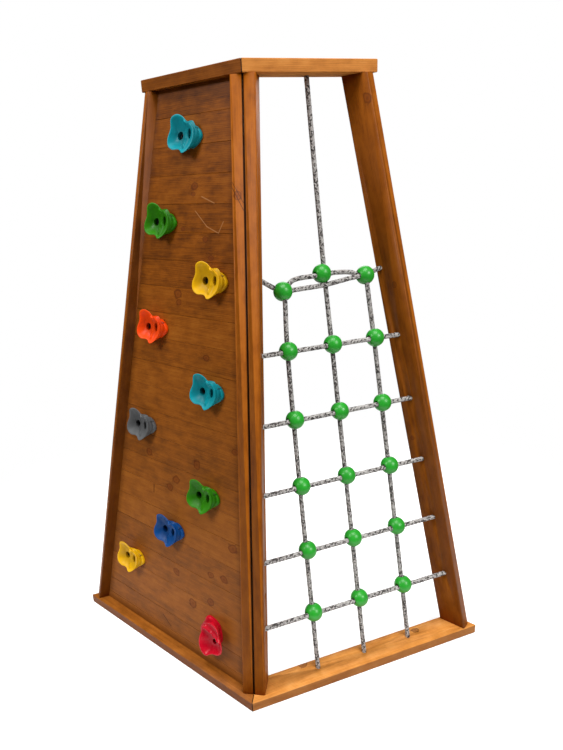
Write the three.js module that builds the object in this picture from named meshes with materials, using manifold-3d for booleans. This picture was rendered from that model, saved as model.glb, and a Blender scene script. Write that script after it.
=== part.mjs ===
// Two sides of a six-sided wooden climbing pyramid, standing together on their own:
// a boarded wall with climbing holds, and a rope net with clamping balls.
// Millimetres, +Z up. A panel is built about the pyramid's axis: X runs along its foot, -Y faces out.
import * as THREE from "three";
import { mergeVertices } from "three/addons/utils/BufferGeometryUtils.js";
import Module from "manifold-3d";

const wasm = await Module();
wasm.setup();

// Pyramid
const pyramidSides = 6;
const height = 2000;
const footSide = 900;
const capSide = 450;

// Clearances
const fitGap = 0.3;
const cutOverrun = 12;
const boreSides = 12;

// Frame timber: cap and foot boards lie flat, the rails stand on edge along the pyramid's corners
const timberThickness = 38;
const flatBoardDepth = 88;
const flatBoardEase = 2;
const cornerGap = 1.2;
const cornerRailWidth = 70;
const outerRailWidth = 94;
const cornerRailSetback = { foot: 27, cap: 19 };
const outerRailSetback = { foot: 17, cap: 18 };
const netRailInset = 8;
const railArris = 5;
const railArrisSteps = 3;

// Wall boarding
const boardRecess = 30;
const boardThickness = 18;
const boardCover = 91.6;
const footStripHeight = 32;
const lowestBoardCover = 66;
const wideBoardCover = 123;
const boardVee = 1;
const tongueThickness = 6;
const tongueLength = 7;
const boardEndGap = 1;
const wallSections = 10;
const cleatThickness = 15;
const cleatWidth = 28;

// Climbing holds, all from one mould
const holdWidth = 125;
const holdHeight = 118;
const holdDepth = 40;
const holdBoltBore = 11;
const holdBoltHeadBore = 22;
const holdBoltHeadSeat = 8;
const holdDishRadius = 15;
const holdDishFloor = 22;
const holdSlotWidth = 11;
const holdSlotHeight = 30;
const holdSlotFloor = 9;
const holdSides = 32;
const boltHoleInBoard = 12;

// Rope net
const ropeDiameter = 16;
const ropeSides = 8;
const topRungSteps = 36;
const centreRopeSteps = 12;
const outerRopeSteps = 110;
const ropeFit = 0.4;
const ropeInRail = 32;
const ropeInBoard = 28;
const rungCount = 6;
const lowestRung = 250;
const rungPitch = 222.5;
const columnSpreadFoot = 184;
const columnSpreadTop = 155;
const netSetbackFoot = 35;
const netSetbackTop = 54;
const ballDiameter = 62;
const ballSides = 10;
const ballRings = 6;
const topBallDrop = { left: 35, centre: -6, right: 15 };
const topBallShift = { left: 0, centre: -13, right: -11 };
const centreRopeShift = { topBall: 0, cap: 10 };
const strandRise = { nearLeft: 8, left: 17, centre: 9, right: 6 };
const strandDip = 4;
const bendRadius = 17;
const weaveRun = 45;

// Corner bolts
const boltDiameter = 8;
const boltHeadDiameter = 20;
const boltHeadHeight = 5;
const boltRecess = 8;
const boltFit = 0.5;

// Worked out from the sizes above
const halfCorner = Math.PI / pyramidSides;
const sinCorner = Math.sin(halfCorner);
const cosCorner = Math.cos(halfCorner);
const sideAt = (z) => footSide + ((capSide - footSide) * z) / height;
const apothemAt = (z) => sideAt(z) / 2 / Math.tan(halfCorner);
const cornerRadiusAt = (z) => sideAt(z) / 2 / sinCorner;
const footTop = timberThickness;
const capUnderside = height - timberThickness;
const railFace = cornerGap / 2 + timberThickness;
const panelLean = Math.atan((apothemAt(0) - apothemAt(height)) / height);
const ropeRadius = ropeDiameter / 2;
const ropeStep = ropeRadius + fitGap;
const topRung = lowestRung + (rungCount - 1) * rungPitch;

// The x of the left rail's inner face, moved in by a gap, where a panel's point has this y.
const leftFaceX = (y, gap) => (railFace + gap + y * sinCorner) / cosCorner;

const pine = (colour) => new THREE.MeshStandardMaterial({ color: colour, roughness: 0.55, metalness: 0 });
const plastic = (colour) => new THREE.MeshStandardMaterial({ color: colour, roughness: 0.3, metalness: 0 });
const railPine = pine(0xa0682c);
const flatPine = pine(0xb87a38);
const boardPine = pine(0x7d4a1e);
const ballGreen = plastic(0x2fa83a);
const ropeGrey = new THREE.MeshStandardMaterial({ color: 0xb9b6ae, roughness: 0.9, metalness: 0 });
const zincSteel = new THREE.MeshStandardMaterial({ color: 0xb8bcc0, roughness: 0.35, metalness: 1 });

const namedMesh = (name, geometry, material) => {
  const mesh = new THREE.Mesh(geometry, material);
  mesh.name = name;
  return mesh;
};

// Solids for cutting and joining
const solidOf = (geometry) => {
  const bare = geometry.clone();
  bare.deleteAttribute("normal");
  bare.deleteAttribute("uv");
  const merged = mergeVertices(bare);
  return new wasm.Manifold(new wasm.Mesh({
    numProp: 3,
    vertProperties: new Float32Array(merged.attributes.position.array),
    triVerts: new Uint32Array(merged.index.array),
  }));
};

const geometryOf = (solid) => {
  const mesh = solid.getMesh();
  const geometry = new THREE.BufferGeometry();
  geometry.setAttribute("position", new THREE.BufferAttribute(mesh.vertProperties, 3));
  geometry.setIndex(new THREE.BufferAttribute(mesh.triVerts, 1));
  return geometry;
};

const cut = (geometry, tools) => {
  const carved = tools.reduce((solid, tool) => solid.subtract(solidOf(tool)), solidOf(geometry));
  return geometryOf(carved);
};

const join = (pieces) => {
  const solids = pieces.map(solidOf);
  return geometryOf(solids.reduce((whole, piece) => whole.add(piece)));
};

// A cylinder along X from one x to another.
const rodAlongX = (fromX, toX, radius) => {
  const rod = new THREE.CylinderGeometry(radius, radius, Math.abs(toX - fromX), boreSides);
  rod.rotateZ(-Math.PI / 2);
  rod.translate((fromX + toX) / 2, 0, 0);
  return rod;
};

// Flat boards: trapezoids mitred on the planes through the pyramid's corners
const flatBoard = (outerZ, fromZ) => {
  const front = -apothemAt(outerZ);
  const back = front + flatBoardDepth;
  const endX = (y) => (-y * sinCorner - fitGap) / cosCorner;
  const outline = new THREE.Shape();
  outline.moveTo(-endX(front), front);
  outline.lineTo(endX(front), front);
  outline.lineTo(endX(back), back);
  outline.lineTo(-endX(back), back);
  outline.closePath();
  const board = new THREE.ExtrudeGeometry(outline, {
    depth: timberThickness - 2 * flatBoardEase,
    bevelEnabled: true,
    bevelThickness: flatBoardEase,
    bevelSize: flatBoardEase,
    bevelOffset: -flatBoardEase,
    bevelSegments: 1,
  });
  board.translate(0, 0, fromZ + flatBoardEase);
  return board;
};

// Rails: a rounded section, its wide faces parallel to the corner plane, sheared to lean along the corner.
const cornerLean = ({ foot, cap }) => (cornerRadiusAt(0) - cornerRadiusAt(height) + cap - foot) / height;
const levelWidth = (width, setback) => width / Math.cos(Math.atan(cornerLean(setback)));
const railFrontY = ({ foot, cap }, z) => foot + ((cap - foot) * z) / height - cornerRadiusAt(z);

const roundedSection = (x0, y0, x1, y1, radius) => {
  const shape = new THREE.Shape();
  shape.moveTo(x0 + radius, y0);
  shape.absarc(x1 - radius, y0 + radius, radius, -Math.PI / 2, 0);
  shape.absarc(x1 - radius, y1 - radius, radius, 0, Math.PI / 2);
  shape.absarc(x0 + radius, y1 - radius, radius, Math.PI / 2, Math.PI);
  shape.absarc(x0 + radius, y0 + radius, radius, Math.PI, Math.PI * 1.5);
  shape.closePath();
  return shape;
};

// handed is 1 for the rail at a panel's left end, -1 for the one at its right end. inset moves it in.
const cornerRail = (width, handed, setback, inset) => {
  const fromZ = footTop + fitGap;
  const toZ = capUnderside - fitGap;
  const nearX = handed * (cornerGap / 2 + inset);
  const farX = handed * (railFace + inset);
  const front = railFrontY(setback, fromZ);
  const section = roundedSection(
    Math.min(nearX, farX), front, Math.max(nearX, farX), front + levelWidth(width, setback), railArris);
  const rail = new THREE.ExtrudeGeometry(section, {
    depth: toZ - fromZ,
    bevelEnabled: false,
    curveSegments: railArrisSteps,
  });
  rail.applyMatrix4(new THREE.Matrix4().makeShear(0, 0, 0, 0, 0, cornerLean(setback)));
  rail.translate(0, 0, fromZ);
  rail.rotateZ(-handed * halfCorner);
  return rail;
};

// Corner bolts: one high and one low, through both rails of the shared corner, sunk in both inner faces
const boltHeights = [lowestRung + rungPitch / 2, topRung - rungPitch / 2];
const boltY = (z) => railFrontY(cornerRailSetback, z) + levelWidth(cornerRailWidth, cornerRailSetback) / 2;

const boltTools = (handed) => boltHeights.flatMap((z) => {
  const recessFloor = handed * (railFace - boltRecess);
  const pastFace = handed * (railFace + cutOverrun);
  const tools = [
    rodAlongX(0, pastFace, boltDiameter / 2 + boltFit),
    rodAlongX(recessFloor, pastFace, boltHeadDiameter / 2 + boltFit),
  ];
  tools.forEach((tool) => {
    tool.translate(0, boltY(z), z);
    tool.rotateZ(-handed * halfCorner);
  });
  return tools;
});

const cornerBolt = (z) => {
  const seat = railFace - boltRecess + fitGap;
  const bolt = join([
    rodAlongX(-seat, seat, boltDiameter / 2),
    rodAlongX(seat, seat + boltHeadHeight, boltHeadDiameter / 2),
    rodAlongX(-seat - boltHeadHeight, -seat, boltHeadDiameter / 2),
  ]);
  bolt.translate(0, boltY(z), z);
  return bolt;
};

// Ropes: routes are points across the net (x), up (z) and out of its middle plane (out)
const netShareAt = (z) => (z - footTop) / (topRung - footTop);
const netSetbackAt = (z) => netSetbackFoot + (netSetbackTop - netSetbackFoot) * netShareAt(z);
const netPoint = (x, z, out) => new THREE.Vector3(x, -apothemAt(z) + netSetbackAt(z) - out, z);
const columnAt = (z) => columnSpreadFoot + (columnSpreadTop - columnSpreadFoot) * netShareAt(z);
const netLeftX = (z, out) => leftFaceX(netPoint(0, z, out).y, 0);
const netRightX = (z, out) => -leftFaceX(netPoint(0, z, out).y, netRailInset);

const columns = ["left", "centre", "right"];
const columnSign = { left: -1, centre: 0, right: 1 };
const ballPlace = (row, column) => {
  const z = lowestRung + row * rungPitch;
  const top = row === rungCount - 1;
  return {
    x: columnSign[column] * columnAt(z) + (top ? topBallShift[column] : 0),
    z: z - (top ? topBallDrop[column] : 0),
  };
};

const straightRungRoute = (row) => {
  const z = lowestRung + row * rungPitch;
  return [
    netPoint(netLeftX(z, ropeStep) - ropeInRail, z, ropeStep),
    netPoint(netRightX(z, ropeStep) + ropeInRail, z, ropeStep),
  ];
};

// The top rung dips to the left ball, arches up to the centre one and falls to the right one.
const topRungRoute = () => {
  const [left, centre, right] = columns.map((column) => ballPlace(rungCount - 1, column));
  const along = (a, b, run, rise = 0) => {
    const share = run / Math.hypot(b.x - a.x, b.z - a.z);
    return { x: a.x + (b.x - a.x) * share, z: a.z + (b.z - a.z) * share + rise };
  };
  const leftRail = { x: netLeftX(topRung, -ropeStep), z: topRung };
  const rightRail = { x: netRightX(topRung, -ropeStep), z: topRung };
  const steps = [
    [along(leftRail, left, -ropeInRail), -ropeStep],
    [leftRail, -ropeStep],
    [along(left, leftRail, bendRadius), -ropeStep],
    [along(left, centre, bendRadius, strandRise.nearLeft), -ropeStep],
    [along(left, centre, weaveRun, strandRise.left), -ropeStep],
    [along(centre, left, weaveRun, strandRise.centre), ropeStep],
    [along(centre, left, bendRadius), ropeStep],
    [along(centre, right, bendRadius), ropeStep],
    [along(centre, right, weaveRun, strandRise.right), ropeStep],
    [along(right, centre, weaveRun, strandRise.right), -ropeStep],
    [along(right, centre, bendRadius), -ropeStep],
    [along(right, rightRail, bendRadius), -ropeStep],
    [rightRail, -ropeStep],
    [along(rightRail, right, -ropeInRail), -ropeStep],
  ];
  return steps.map(([place, out]) => netPoint(place.x, place.z, out));
};

const centreRopeRoute = () => [
  netPoint(0, footTop - ropeInBoard, -ropeStep),
  netPoint(0, lowestRung + (rungCount - 2) * rungPitch, -ropeStep),
  netPoint(centreRopeShift.topBall, topRung - topBallDrop.centre, -ropeStep),
  netPoint(centreRopeShift.cap, capUnderside + ropeInBoard, -ropeStep),
];

// The outer rope climbs the left column, crosses under the centre ball and comes down the right column.
const outerRopeRoute = () => {
  const left = ballPlace(rungCount - 1, "left");
  const centre = ballPlace(rungCount - 1, "centre");
  const right = ballPlace(rungCount - 1, "right");
  const lastLevel = lowestRung + (rungCount - 2) * rungPitch;
  const halfBend = bendRadius * (1 - Math.SQRT1_2);
  const middle = netPoint(centre.x, (left.z + right.z) / 2 - strandDip, ropeStep);
  const climb = (sign, corner) => [
    netPoint(sign * columnAt(footTop), footTop - ropeInBoard, -ropeStep),
    netPoint(sign * columnAt(footTop), footTop, -ropeStep),
    netPoint(sign * columnAt(lastLevel), lastLevel, -ropeStep),
    netPoint(corner.x, corner.z - ballDiameter / 2, ropeStep),
    netPoint(corner.x, corner.z - bendRadius, ropeStep),
    netPoint(corner.x - sign * halfBend, corner.z - halfBend, ropeStep),
    netPoint(corner.x - sign * bendRadius, corner.z, ropeStep),
  ];
  return [...climb(-1, left), middle, ...climb(1, right).reverse()];
};

const ropeSection = (radius) => {
  const section = new THREE.Shape();
  section.absarc(0, 0, radius, 0, Math.PI * 2);
  return section;
};

// grow makes the fatter copy that bores the rails, boards and balls.
const ropeGeometry = (route, steps, grow) => {
  const points = route.map((point) => point.clone());
  const stretch = (end, next) => end.addScaledVector(end.clone().sub(next).normalize(), grow);
  stretch(points[0], points[1]);
  stretch(points[points.length - 1], points[points.length - 2]);
  const path = points.length === 2
    ? new THREE.LineCurve3(points[0], points[1])
    : new THREE.CatmullRomCurve3(points, false, "centripetal");
  return new THREE.ExtrudeGeometry(ropeSection(ropeRadius + grow), {
    steps,
    curveSegments: ropeSides / 2,
    bevelEnabled: false,
    extrudePath: path,
  });
};

// Wall boarding, in a frame that leans with the panel: x across, y into the boards, z up the slope
const leanCos = Math.cos(panelLean);
const leanTan = Math.tan(panelLean);
const wallFoot = { y: boardRecess - apothemAt(footTop), z: footTop };
const wallLength = (capUnderside - footTop) / leanCos;
const panelY = (into, up) => wallFoot.y + into * leanCos + up * Math.sin(panelLean);
const levelGap = fitGap / leanCos;

// A profile across the boards, drawn as [into, up] points, runs between two x given for each panel y.
const slopedPrism = (points, fromX, toX) => {
  const profile = new THREE.Shape(points.map(([into, up]) => new THREE.Vector2(into, up)));
  const prism = new THREE.ExtrudeGeometry(profile, { depth: 1, bevelEnabled: false });
  const at = prism.attributes.position;
  for (let i = 0; i < at.count; i += 1) {
    const [into, up, share] = [at.getX(i), at.getY(i), at.getZ(i)];
    const y = panelY(into, up);
    at.setXYZ(i, fromX(y) + (toX(y) - fromX(y)) * share, into, up);
  }
  return prism;
};

const betweenRails = (points) => slopedPrism(
  points,
  (y) => leftFaceX(y, boardEndGap),
  (y) => -leftFaceX(y, boardEndGap));

const footEdge = [[boardThickness, boardThickness * leanTan + levelGap], [0, levelGap]];
const capEdge = [
  [0, wallLength - levelGap],
  [boardThickness, wallLength + boardThickness * leanTan - levelGap],
];

// The tongue on a board's top edge, and the groove that takes it in the bottom edge above.
const tongueEdge = (up) => {
  const [near, far] = [(boardThickness - tongueThickness) / 2, (boardThickness + tongueThickness) / 2];
  const top = up + tongueLength;
  return [[boardVee, up], [near, up], [near, top], [far, top], [far, up], [boardThickness, up]];
};
const grooveEdge = (up) => {
  const near = (boardThickness - tongueThickness) / 2 - fitGap;
  const far = (boardThickness + tongueThickness) / 2 + fitGap;
  const top = up + tongueLength;
  return [[boardThickness, up], [far, up], [far, top], [near, top], [near, up], [boardVee, up]];
};
const plainFoot = (up) => [[boardThickness, up], [boardVee, up]];
const plainTop = (up) => [[boardVee, up], [boardThickness, up]];
const veeNotch = (up) => [[0, up - boardVee], [boardVee, up], [0, up + boardVee]];

const regularSpan = wallLength - footStripHeight - lowestBoardCover - wideBoardCover;
const regularCount = Math.max(1, Math.round(regularSpan / boardCover));
const lowestFoot = footStripHeight;
const wideFoot = lowestFoot + lowestBoardCover;
const regularFoot = wideFoot + wideBoardCover;
const boardFeet = [wideFoot];
for (let i = 0; i < regularCount; i += 1) {
  boardFeet.push(regularFoot + i * boardCover);
}

const footStrip = () => betweenRails([
  ...footEdge,
  [0, footStripHeight - boardVee],
  ...plainTop(footStripHeight - fitGap),
]);

const lowestBoard = () => betweenRails([
  ...plainFoot(lowestFoot),
  [0, lowestFoot + boardVee],
  [0, wideFoot - boardVee],
  ...tongueEdge(wideFoot - fitGap),
]);

// Boards glued edge to edge into sections: each holds the boards numbered from first to before next.
const sections = [];
for (let i = 0; i < wallSections; i += 1) {
  const first = Math.floor((i * boardFeet.length) / wallSections);
  const next = Math.floor(((i + 1) * boardFeet.length) / wallSections);
  const topmost = next === boardFeet.length;
  const top = topmost ? wallLength : boardFeet[next];
  sections.push({ first, next, topmost, foot: boardFeet[first], top });
}

const boardSection = ({ first, next, topmost, foot, top }) => {
  const topEdge = topmost ? capEdge : [[0, top - boardVee], ...tongueEdge(top - fitGap)];
  return betweenRails([
    ...grooveEdge(foot),
    [0, foot + boardVee],
    ...boardFeet.slice(first + 1, next).flatMap(veeNotch),
    ...topEdge,
  ]);
};

const cleat = (handed) => {
  const near = boardThickness + fitGap;
  const far = near + cleatThickness;
  const points = [
    [far, far * leanTan + levelGap],
    [near, near * leanTan + levelGap],
    [near, wallLength + near * leanTan - levelGap],
    [far, wallLength + far * leanTan - levelGap],
  ];
  const railSide = (y) => handed * leftFaceX(y, fitGap);
  const openSide = (y) => handed * leftFaceX(y, fitGap + cleatWidth);
  return handed > 0 ? slopedPrism(points, railSide, openSide) : slopedPrism(points, openSide, railSide);
};

// Climbing hold: a lobed dish on a neck that steps down to the board on its right. Going round the bolt,
// each row has a point of the rim, of the upper step and of the lower step, as shares of the hold's
// width, height and depth.
const holdOutlineShares = [
  { rim: [0.528, 0, 0.675], upper: [0.592, -0.025, 0.45], lower: [0.664, -0.051, 0.175] },
  { rim: [0.496, 0.161, 0.675], upper: [0.56, 0.153, 0.475], lower: [0.64, 0.059, 0.225] },
  { rim: [0.384, 0.263, 0.725], upper: [0.448, 0.339, 0.525], lower: [0.528, 0.195, 0.25] },
  { rim: [0.296, 0.356, 0.875], upper: [0.32, 0.356, 0.5], lower: [0.384, 0.263, 0.25] },
  { rim: [0.168, 0.466, 0.95], upper: [0.176, 0.331, 0.475], lower: [0.224, 0.246, 0.25] },
  { rim: [-0.032, 0.517, 1], upper: [0.032, 0.305, 0.475], lower: [0.08, 0.22, 0.25] },
  { rim: [-0.216, 0.432, 1], upper: [-0.104, 0.254, 0.475], lower: [-0.04, 0.161, 0.25] },
  { rim: [-0.256, 0.169, 0.9], upper: [-0.16, 0.127, 0.475], lower: [-0.112, 0.068, 0.25] },
  { rim: [-0.336, -0.076, 0.95], upper: [-0.192, -0.051, 0.475], lower: [-0.136, -0.034, 0.25] },
  { rim: [-0.312, -0.263, 0.95], upper: [-0.176, -0.169, 0.475], lower: [-0.088, -0.136, 0.25] },
  { rim: [-0.16, -0.373, 0.925], upper: [-0.064, -0.246, 0.45], lower: [0, -0.203, 0.25] },
  { rim: [0.016, -0.373, 0.85], upper: [0.064, -0.288, 0.425], lower: [0.112, -0.263, 0.225] },
  { rim: [0.104, -0.398, 0.85], upper: [0.168, -0.339, 0.425], lower: [0.216, -0.297, 0.225] },
  { rim: [0.216, -0.483, 0.925], upper: [0.28, -0.373, 0.45], lower: [0.32, -0.322, 0.225] },
  { rim: [0.36, -0.398, 0.825], upper: [0.432, -0.305, 0.425], lower: [0.464, -0.263, 0.2] },
  { rim: [0.488, -0.203, 0.7], upper: [0.552, -0.169, 0.4], lower: [0.592, -0.161, 0.175] },
];
const holdMiddleShare = { x: 0.24, y: -0.034 };
const holdSlotShare = { x: 0.36, y: 0.017 };
const holdBaseShare = 0.98;
const holdRimWidthShare = 0.92;
// Between two steps a groove is cut in toward the middle, deepest at the top right, which is turned this far.
const holdGrooveTurn = 0.7;
const holdGrooveShares = { lower: 0.12, upper: 0.14 };
// How far the dish's inner rings lie from the bolt to the rim, and how high between its floor and the rim.
const holdDishShares = [{ out: 0.76, up: 0.62 }, { out: 0.52, up: 0.22 }];

const holdRings = () => {
  const middle = new THREE.Vector3(holdMiddleShare.x * holdWidth, holdMiddleShare.y * holdHeight, 0);
  const outline = (name) => {
    const points = holdOutlineShares.map((row) => {
      const [x, y, out] = row[name];
      return new THREE.Vector3(x * holdWidth, y * holdHeight, out * holdDepth);
    });
    const curve = new THREE.CatmullRomCurve3(points, true, "centripetal");
    return Array.from({ length: holdSides }, (unused, i) => curve.getPoint(i / holdSides));
  };
  const groove = (below, above, share) => below.map((low, i) => {
    const point = low.clone().lerp(above[i], 0.5);
    const turn = Math.atan2(point.y - middle.y, point.x - middle.x);
    const pull = share * Math.max(0, Math.cos(turn - holdGrooveTurn));
    point.x += (middle.x - point.x) * pull;
    point.y += (middle.y - point.y) * pull;
    return point;
  });
  const [rim, upper, lower] = ["rim", "upper", "lower"].map(outline);
  const base = lower.map(({ x, y }) => new THREE.Vector3(x, y, 0).lerp(middle, 1 - holdBaseShare));
  const lip = rim.map(({ x, y, z }) => new THREE.Vector3(x * holdRimWidthShare, y * holdRimWidthShare, z));
  const dish = holdDishShares.map(({ out, up }) => rim.map(
    ({ x, y, z }) => new THREE.Vector3(x * out, y * out, holdDishFloor + (z - holdDishFloor) * up)));
  const floor = rim.map(({ x, y }) => {
    const reach = holdDishRadius / Math.hypot(x, y);
    return new THREE.Vector3(x * reach, y * reach, holdDishFloor);
  });
  return [
    base, lower, groove(lower, upper, holdGrooveShares.lower), upper,
    groove(upper, rim, holdGrooveShares.upper), rim, lip, ...dish, floor,
  ];
};

const holdGeometry = () => {
  const rings = holdRings();
  const points = rings.flat();
  const faces = [];
  for (let ring = 0; ring < rings.length - 1; ring += 1) {
    for (let i = 0; i < holdSides; i += 1) {
      const a = ring * holdSides + i;
      const b = ring * holdSides + ((i + 1) % holdSides);
      faces.push(a, b, b + holdSides, a, b + holdSides, a + holdSides);
    }
  }
  const lastRing = (rings.length - 1) * holdSides;
  const baseCentre = points.length;
  points.push(new THREE.Vector3(holdMiddleShare.x * holdWidth, holdMiddleShare.y * holdHeight, 0));
  points.push(new THREE.Vector3(0, 0, holdDishFloor));
  for (let i = 0; i < holdSides; i += 1) {
    const next = (i + 1) % holdSides;
    faces.push(baseCentre, next, i);
    faces.push(baseCentre + 1, lastRing + i, lastRing + next);
  }
  const geometry = new THREE.BufferGeometry().setFromPoints(points);
  geometry.setIndex(faces);
  geometry.rotateX(Math.PI / 2);
  const bore = (diameter, fromDepth, toDepth) => {
    const tool = new THREE.CylinderGeometry(diameter / 2, diameter / 2, toDepth - fromDepth, boreSides);
    tool.translate(0, -(fromDepth + toDepth) / 2, 0);
    return tool;
  };
  const slot = bore(holdSlotWidth, holdSlotFloor, holdDepth + cutOverrun);
  slot.scale(1, 1, holdSlotHeight / holdSlotWidth);
  slot.translate(holdSlotShare.x * holdWidth, 0, holdSlotShare.y * holdHeight);
  return cut(geometry, [
    bore(holdBoltHeadBore, holdBoltHeadSeat, holdDepth + cutOverrun),
    bore(holdBoltBore, -cutOverrun, holdDepth),
    slot,
  ]);
};

// Where each hold is bolted: its board section, the share of the section's height and of the half width
// there, its turn and its size against the others.
const holdPlaceShares = [
  { section: 9, up: 0.141, side: -0.151, turn: 0, size: 1, colour: 0x0aa5b8 },
  { section: 7, up: 0.676, side: -0.616, turn: 0, size: 1, colour: 0x3fa317 },
  { section: 6, up: 0.68, side: 0.503, turn: 0, size: 1, colour: 0xe6c200 },
  { section: 5, up: 0.702, side: -0.616, turn: 0, size: 1, colour: 0xff5a00 },
  { section: 4, up: 0.702, side: 0.474, turn: 0, size: 1, colour: 0x0aa5b8 },
  { section: 3, up: 0.692, side: -0.676, turn: 0, size: 1, colour: 0x7d8288 },
  { section: 2, up: 0.707, side: 0.44, turn: 0, size: 1, colour: 0x3fa317 },
  { section: 1, up: 0.708, side: -0.076, turn: 0, size: 1, colour: 0x1a4f9c },
  { section: 0, up: 0.722, side: -0.675, turn: 0, size: 1, colour: 0xe6c200 },
  { section: 0, up: 0.084, side: 0.682, turn: -2.27, size: 1.05, colour: 0xc81238 },
];
const holdPlaces = holdPlaceShares.map(({ section, up, side, turn, size, colour }) => {
  const { foot, top } = sections[section];
  const z = foot + (top - foot) * up;
  return { x: side * -leftFaceX(panelY(0, z), 0), z, turn, size, colour };
});

const boltHoles = (fromUp, toUp) => holdPlaces
  .filter(({ z }) => z > fromUp - boltHoleInBoard && z < toUp + boltHoleInBoard)
  .map(({ x, z }) => {
    const hole = new THREE.CylinderGeometry(
      boltHoleInBoard / 2, boltHoleInBoard / 2, boardThickness + 2 * cutOverrun, boreSides);
    hole.translate(x, boardThickness / 2, z);
    return hole;
  });

// Net panel
const netPanel = new THREE.Group();
const ropeRoutes = new Map();
for (let row = 0; row < rungCount - 1; row += 1) {
  ropeRoutes.set(`rung_rope_${row + 1}`, { route: straightRungRoute(row), steps: 1 });
}
ropeRoutes.set(`rung_rope_${rungCount}`, { route: topRungRoute(), steps: topRungSteps });
ropeRoutes.set("centre_rope", { route: centreRopeRoute(), steps: centreRopeSteps });
ropeRoutes.set("outer_rope", { route: outerRopeRoute(), steps: outerRopeSteps });
const ropeBores = [...ropeRoutes.values()].map(({ route, steps }) => ropeGeometry(route, steps, ropeFit));
const rungBores = ropeBores.slice(0, rungCount);
const columnBores = ropeBores.slice(rungCount);

ropeRoutes.forEach(({ route, steps }, name) => {
  netPanel.add(namedMesh(name, ropeGeometry(route, steps, 0), ropeGrey));
});
for (let row = 0; row < rungCount; row += 1) {
  columns.forEach((column) => {
    const place = ballPlace(row, column);
    const centre = netPoint(place.x, place.z, 0);
    const ball = new THREE.SphereGeometry(ballDiameter / 2, ballSides, ballRings);
    ball.rotateX(Math.PI / 2);
    ball.translate(centre.x, centre.y, centre.z);
    const bored = cut(ball, [rungBores[row], ...columnBores]);
    netPanel.add(namedMesh(`ball_${row + 1}_${column}`, bored, ballGreen));
  });
}
netPanel.add(namedMesh(
  "net_left_rail",
  cut(cornerRail(cornerRailWidth, 1, cornerRailSetback, 0), [...rungBores, ...boltTools(1)]),
  railPine));
netPanel.add(namedMesh(
  "net_right_rail",
  cut(cornerRail(outerRailWidth, -1, outerRailSetback, netRailInset), rungBores),
  railPine));
netPanel.add(namedMesh("net_foot_board", cut(flatBoard(0, 0), columnBores), flatPine));
netPanel.add(namedMesh("net_cap_board", cut(flatBoard(height, capUnderside), columnBores), flatPine));

// Wall panel, turned one side round the pyramid
const wallPanel = new THREE.Group();
wallPanel.rotation.z = -2 * halfCorner;
wallPanel.add(namedMesh("wall_left_rail", cornerRail(outerRailWidth, 1, outerRailSetback, 0), railPine));
wallPanel.add(namedMesh(
  "wall_right_rail", cut(cornerRail(cornerRailWidth, -1, cornerRailSetback, 0), boltTools(-1)), railPine));
wallPanel.add(namedMesh("wall_foot_board", flatBoard(0, 0), flatPine));
wallPanel.add(namedMesh("wall_cap_board", flatBoard(height, capUnderside), flatPine));

const boarding = new THREE.Group();
boarding.position.set(0, wallFoot.y, wallFoot.z);
boarding.rotation.x = -panelLean;
boarding.add(namedMesh("wall_foot_strip", footStrip(), boardPine));
boarding.add(namedMesh("wall_lowest_board", cut(lowestBoard(), boltHoles(lowestFoot, wideFoot)), boardPine));
sections.forEach((section, i) => {
  const boards = cut(boardSection(section), boltHoles(section.foot, section.top));
  boarding.add(namedMesh(`wall_boards_${i + 1}`, boards, boardPine));
});
boarding.add(namedMesh("wall_left_cleat", cleat(1), railPine));
boarding.add(namedMesh("wall_right_cleat", cleat(-1), railPine));
holdPlaces.forEach(({ x, z, turn, size, colour }, i) => {
  const hold = namedMesh(`hold_${i + 1}`, holdGeometry().scale(size, size, size), plastic(colour));
  hold.position.set(x, -fitGap, z);
  hold.rotation.y = turn;
  boarding.add(hold);
});
wallPanel.add(boarding);

// Corner bolts, in the frame of the corner that both panels share
const cornerBolts = new THREE.Group();
cornerBolts.rotation.z = -halfCorner;
cornerBolts.add(namedMesh("corner_bolt_lower", cornerBolt(boltHeights[0]), zincSteel));
cornerBolts.add(namedMesh("corner_bolt_upper", cornerBolt(boltHeights[1]), zincSteel));

// The origin is the middle of the box that the two panels fill, on the ground.
const pyramid = new THREE.Group();
pyramid.add(netPanel, wallPanel, cornerBolts);
const box = new THREE.Box3().setFromObject(pyramid, true);
pyramid.position.set(-(box.min.x + box.max.x) / 2, -(box.min.y + box.max.y) / 2, -box.min.z);

export default pyramid;
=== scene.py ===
import math

import bmesh
import bpy
from mathutils import Matrix, Vector, noise


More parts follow.
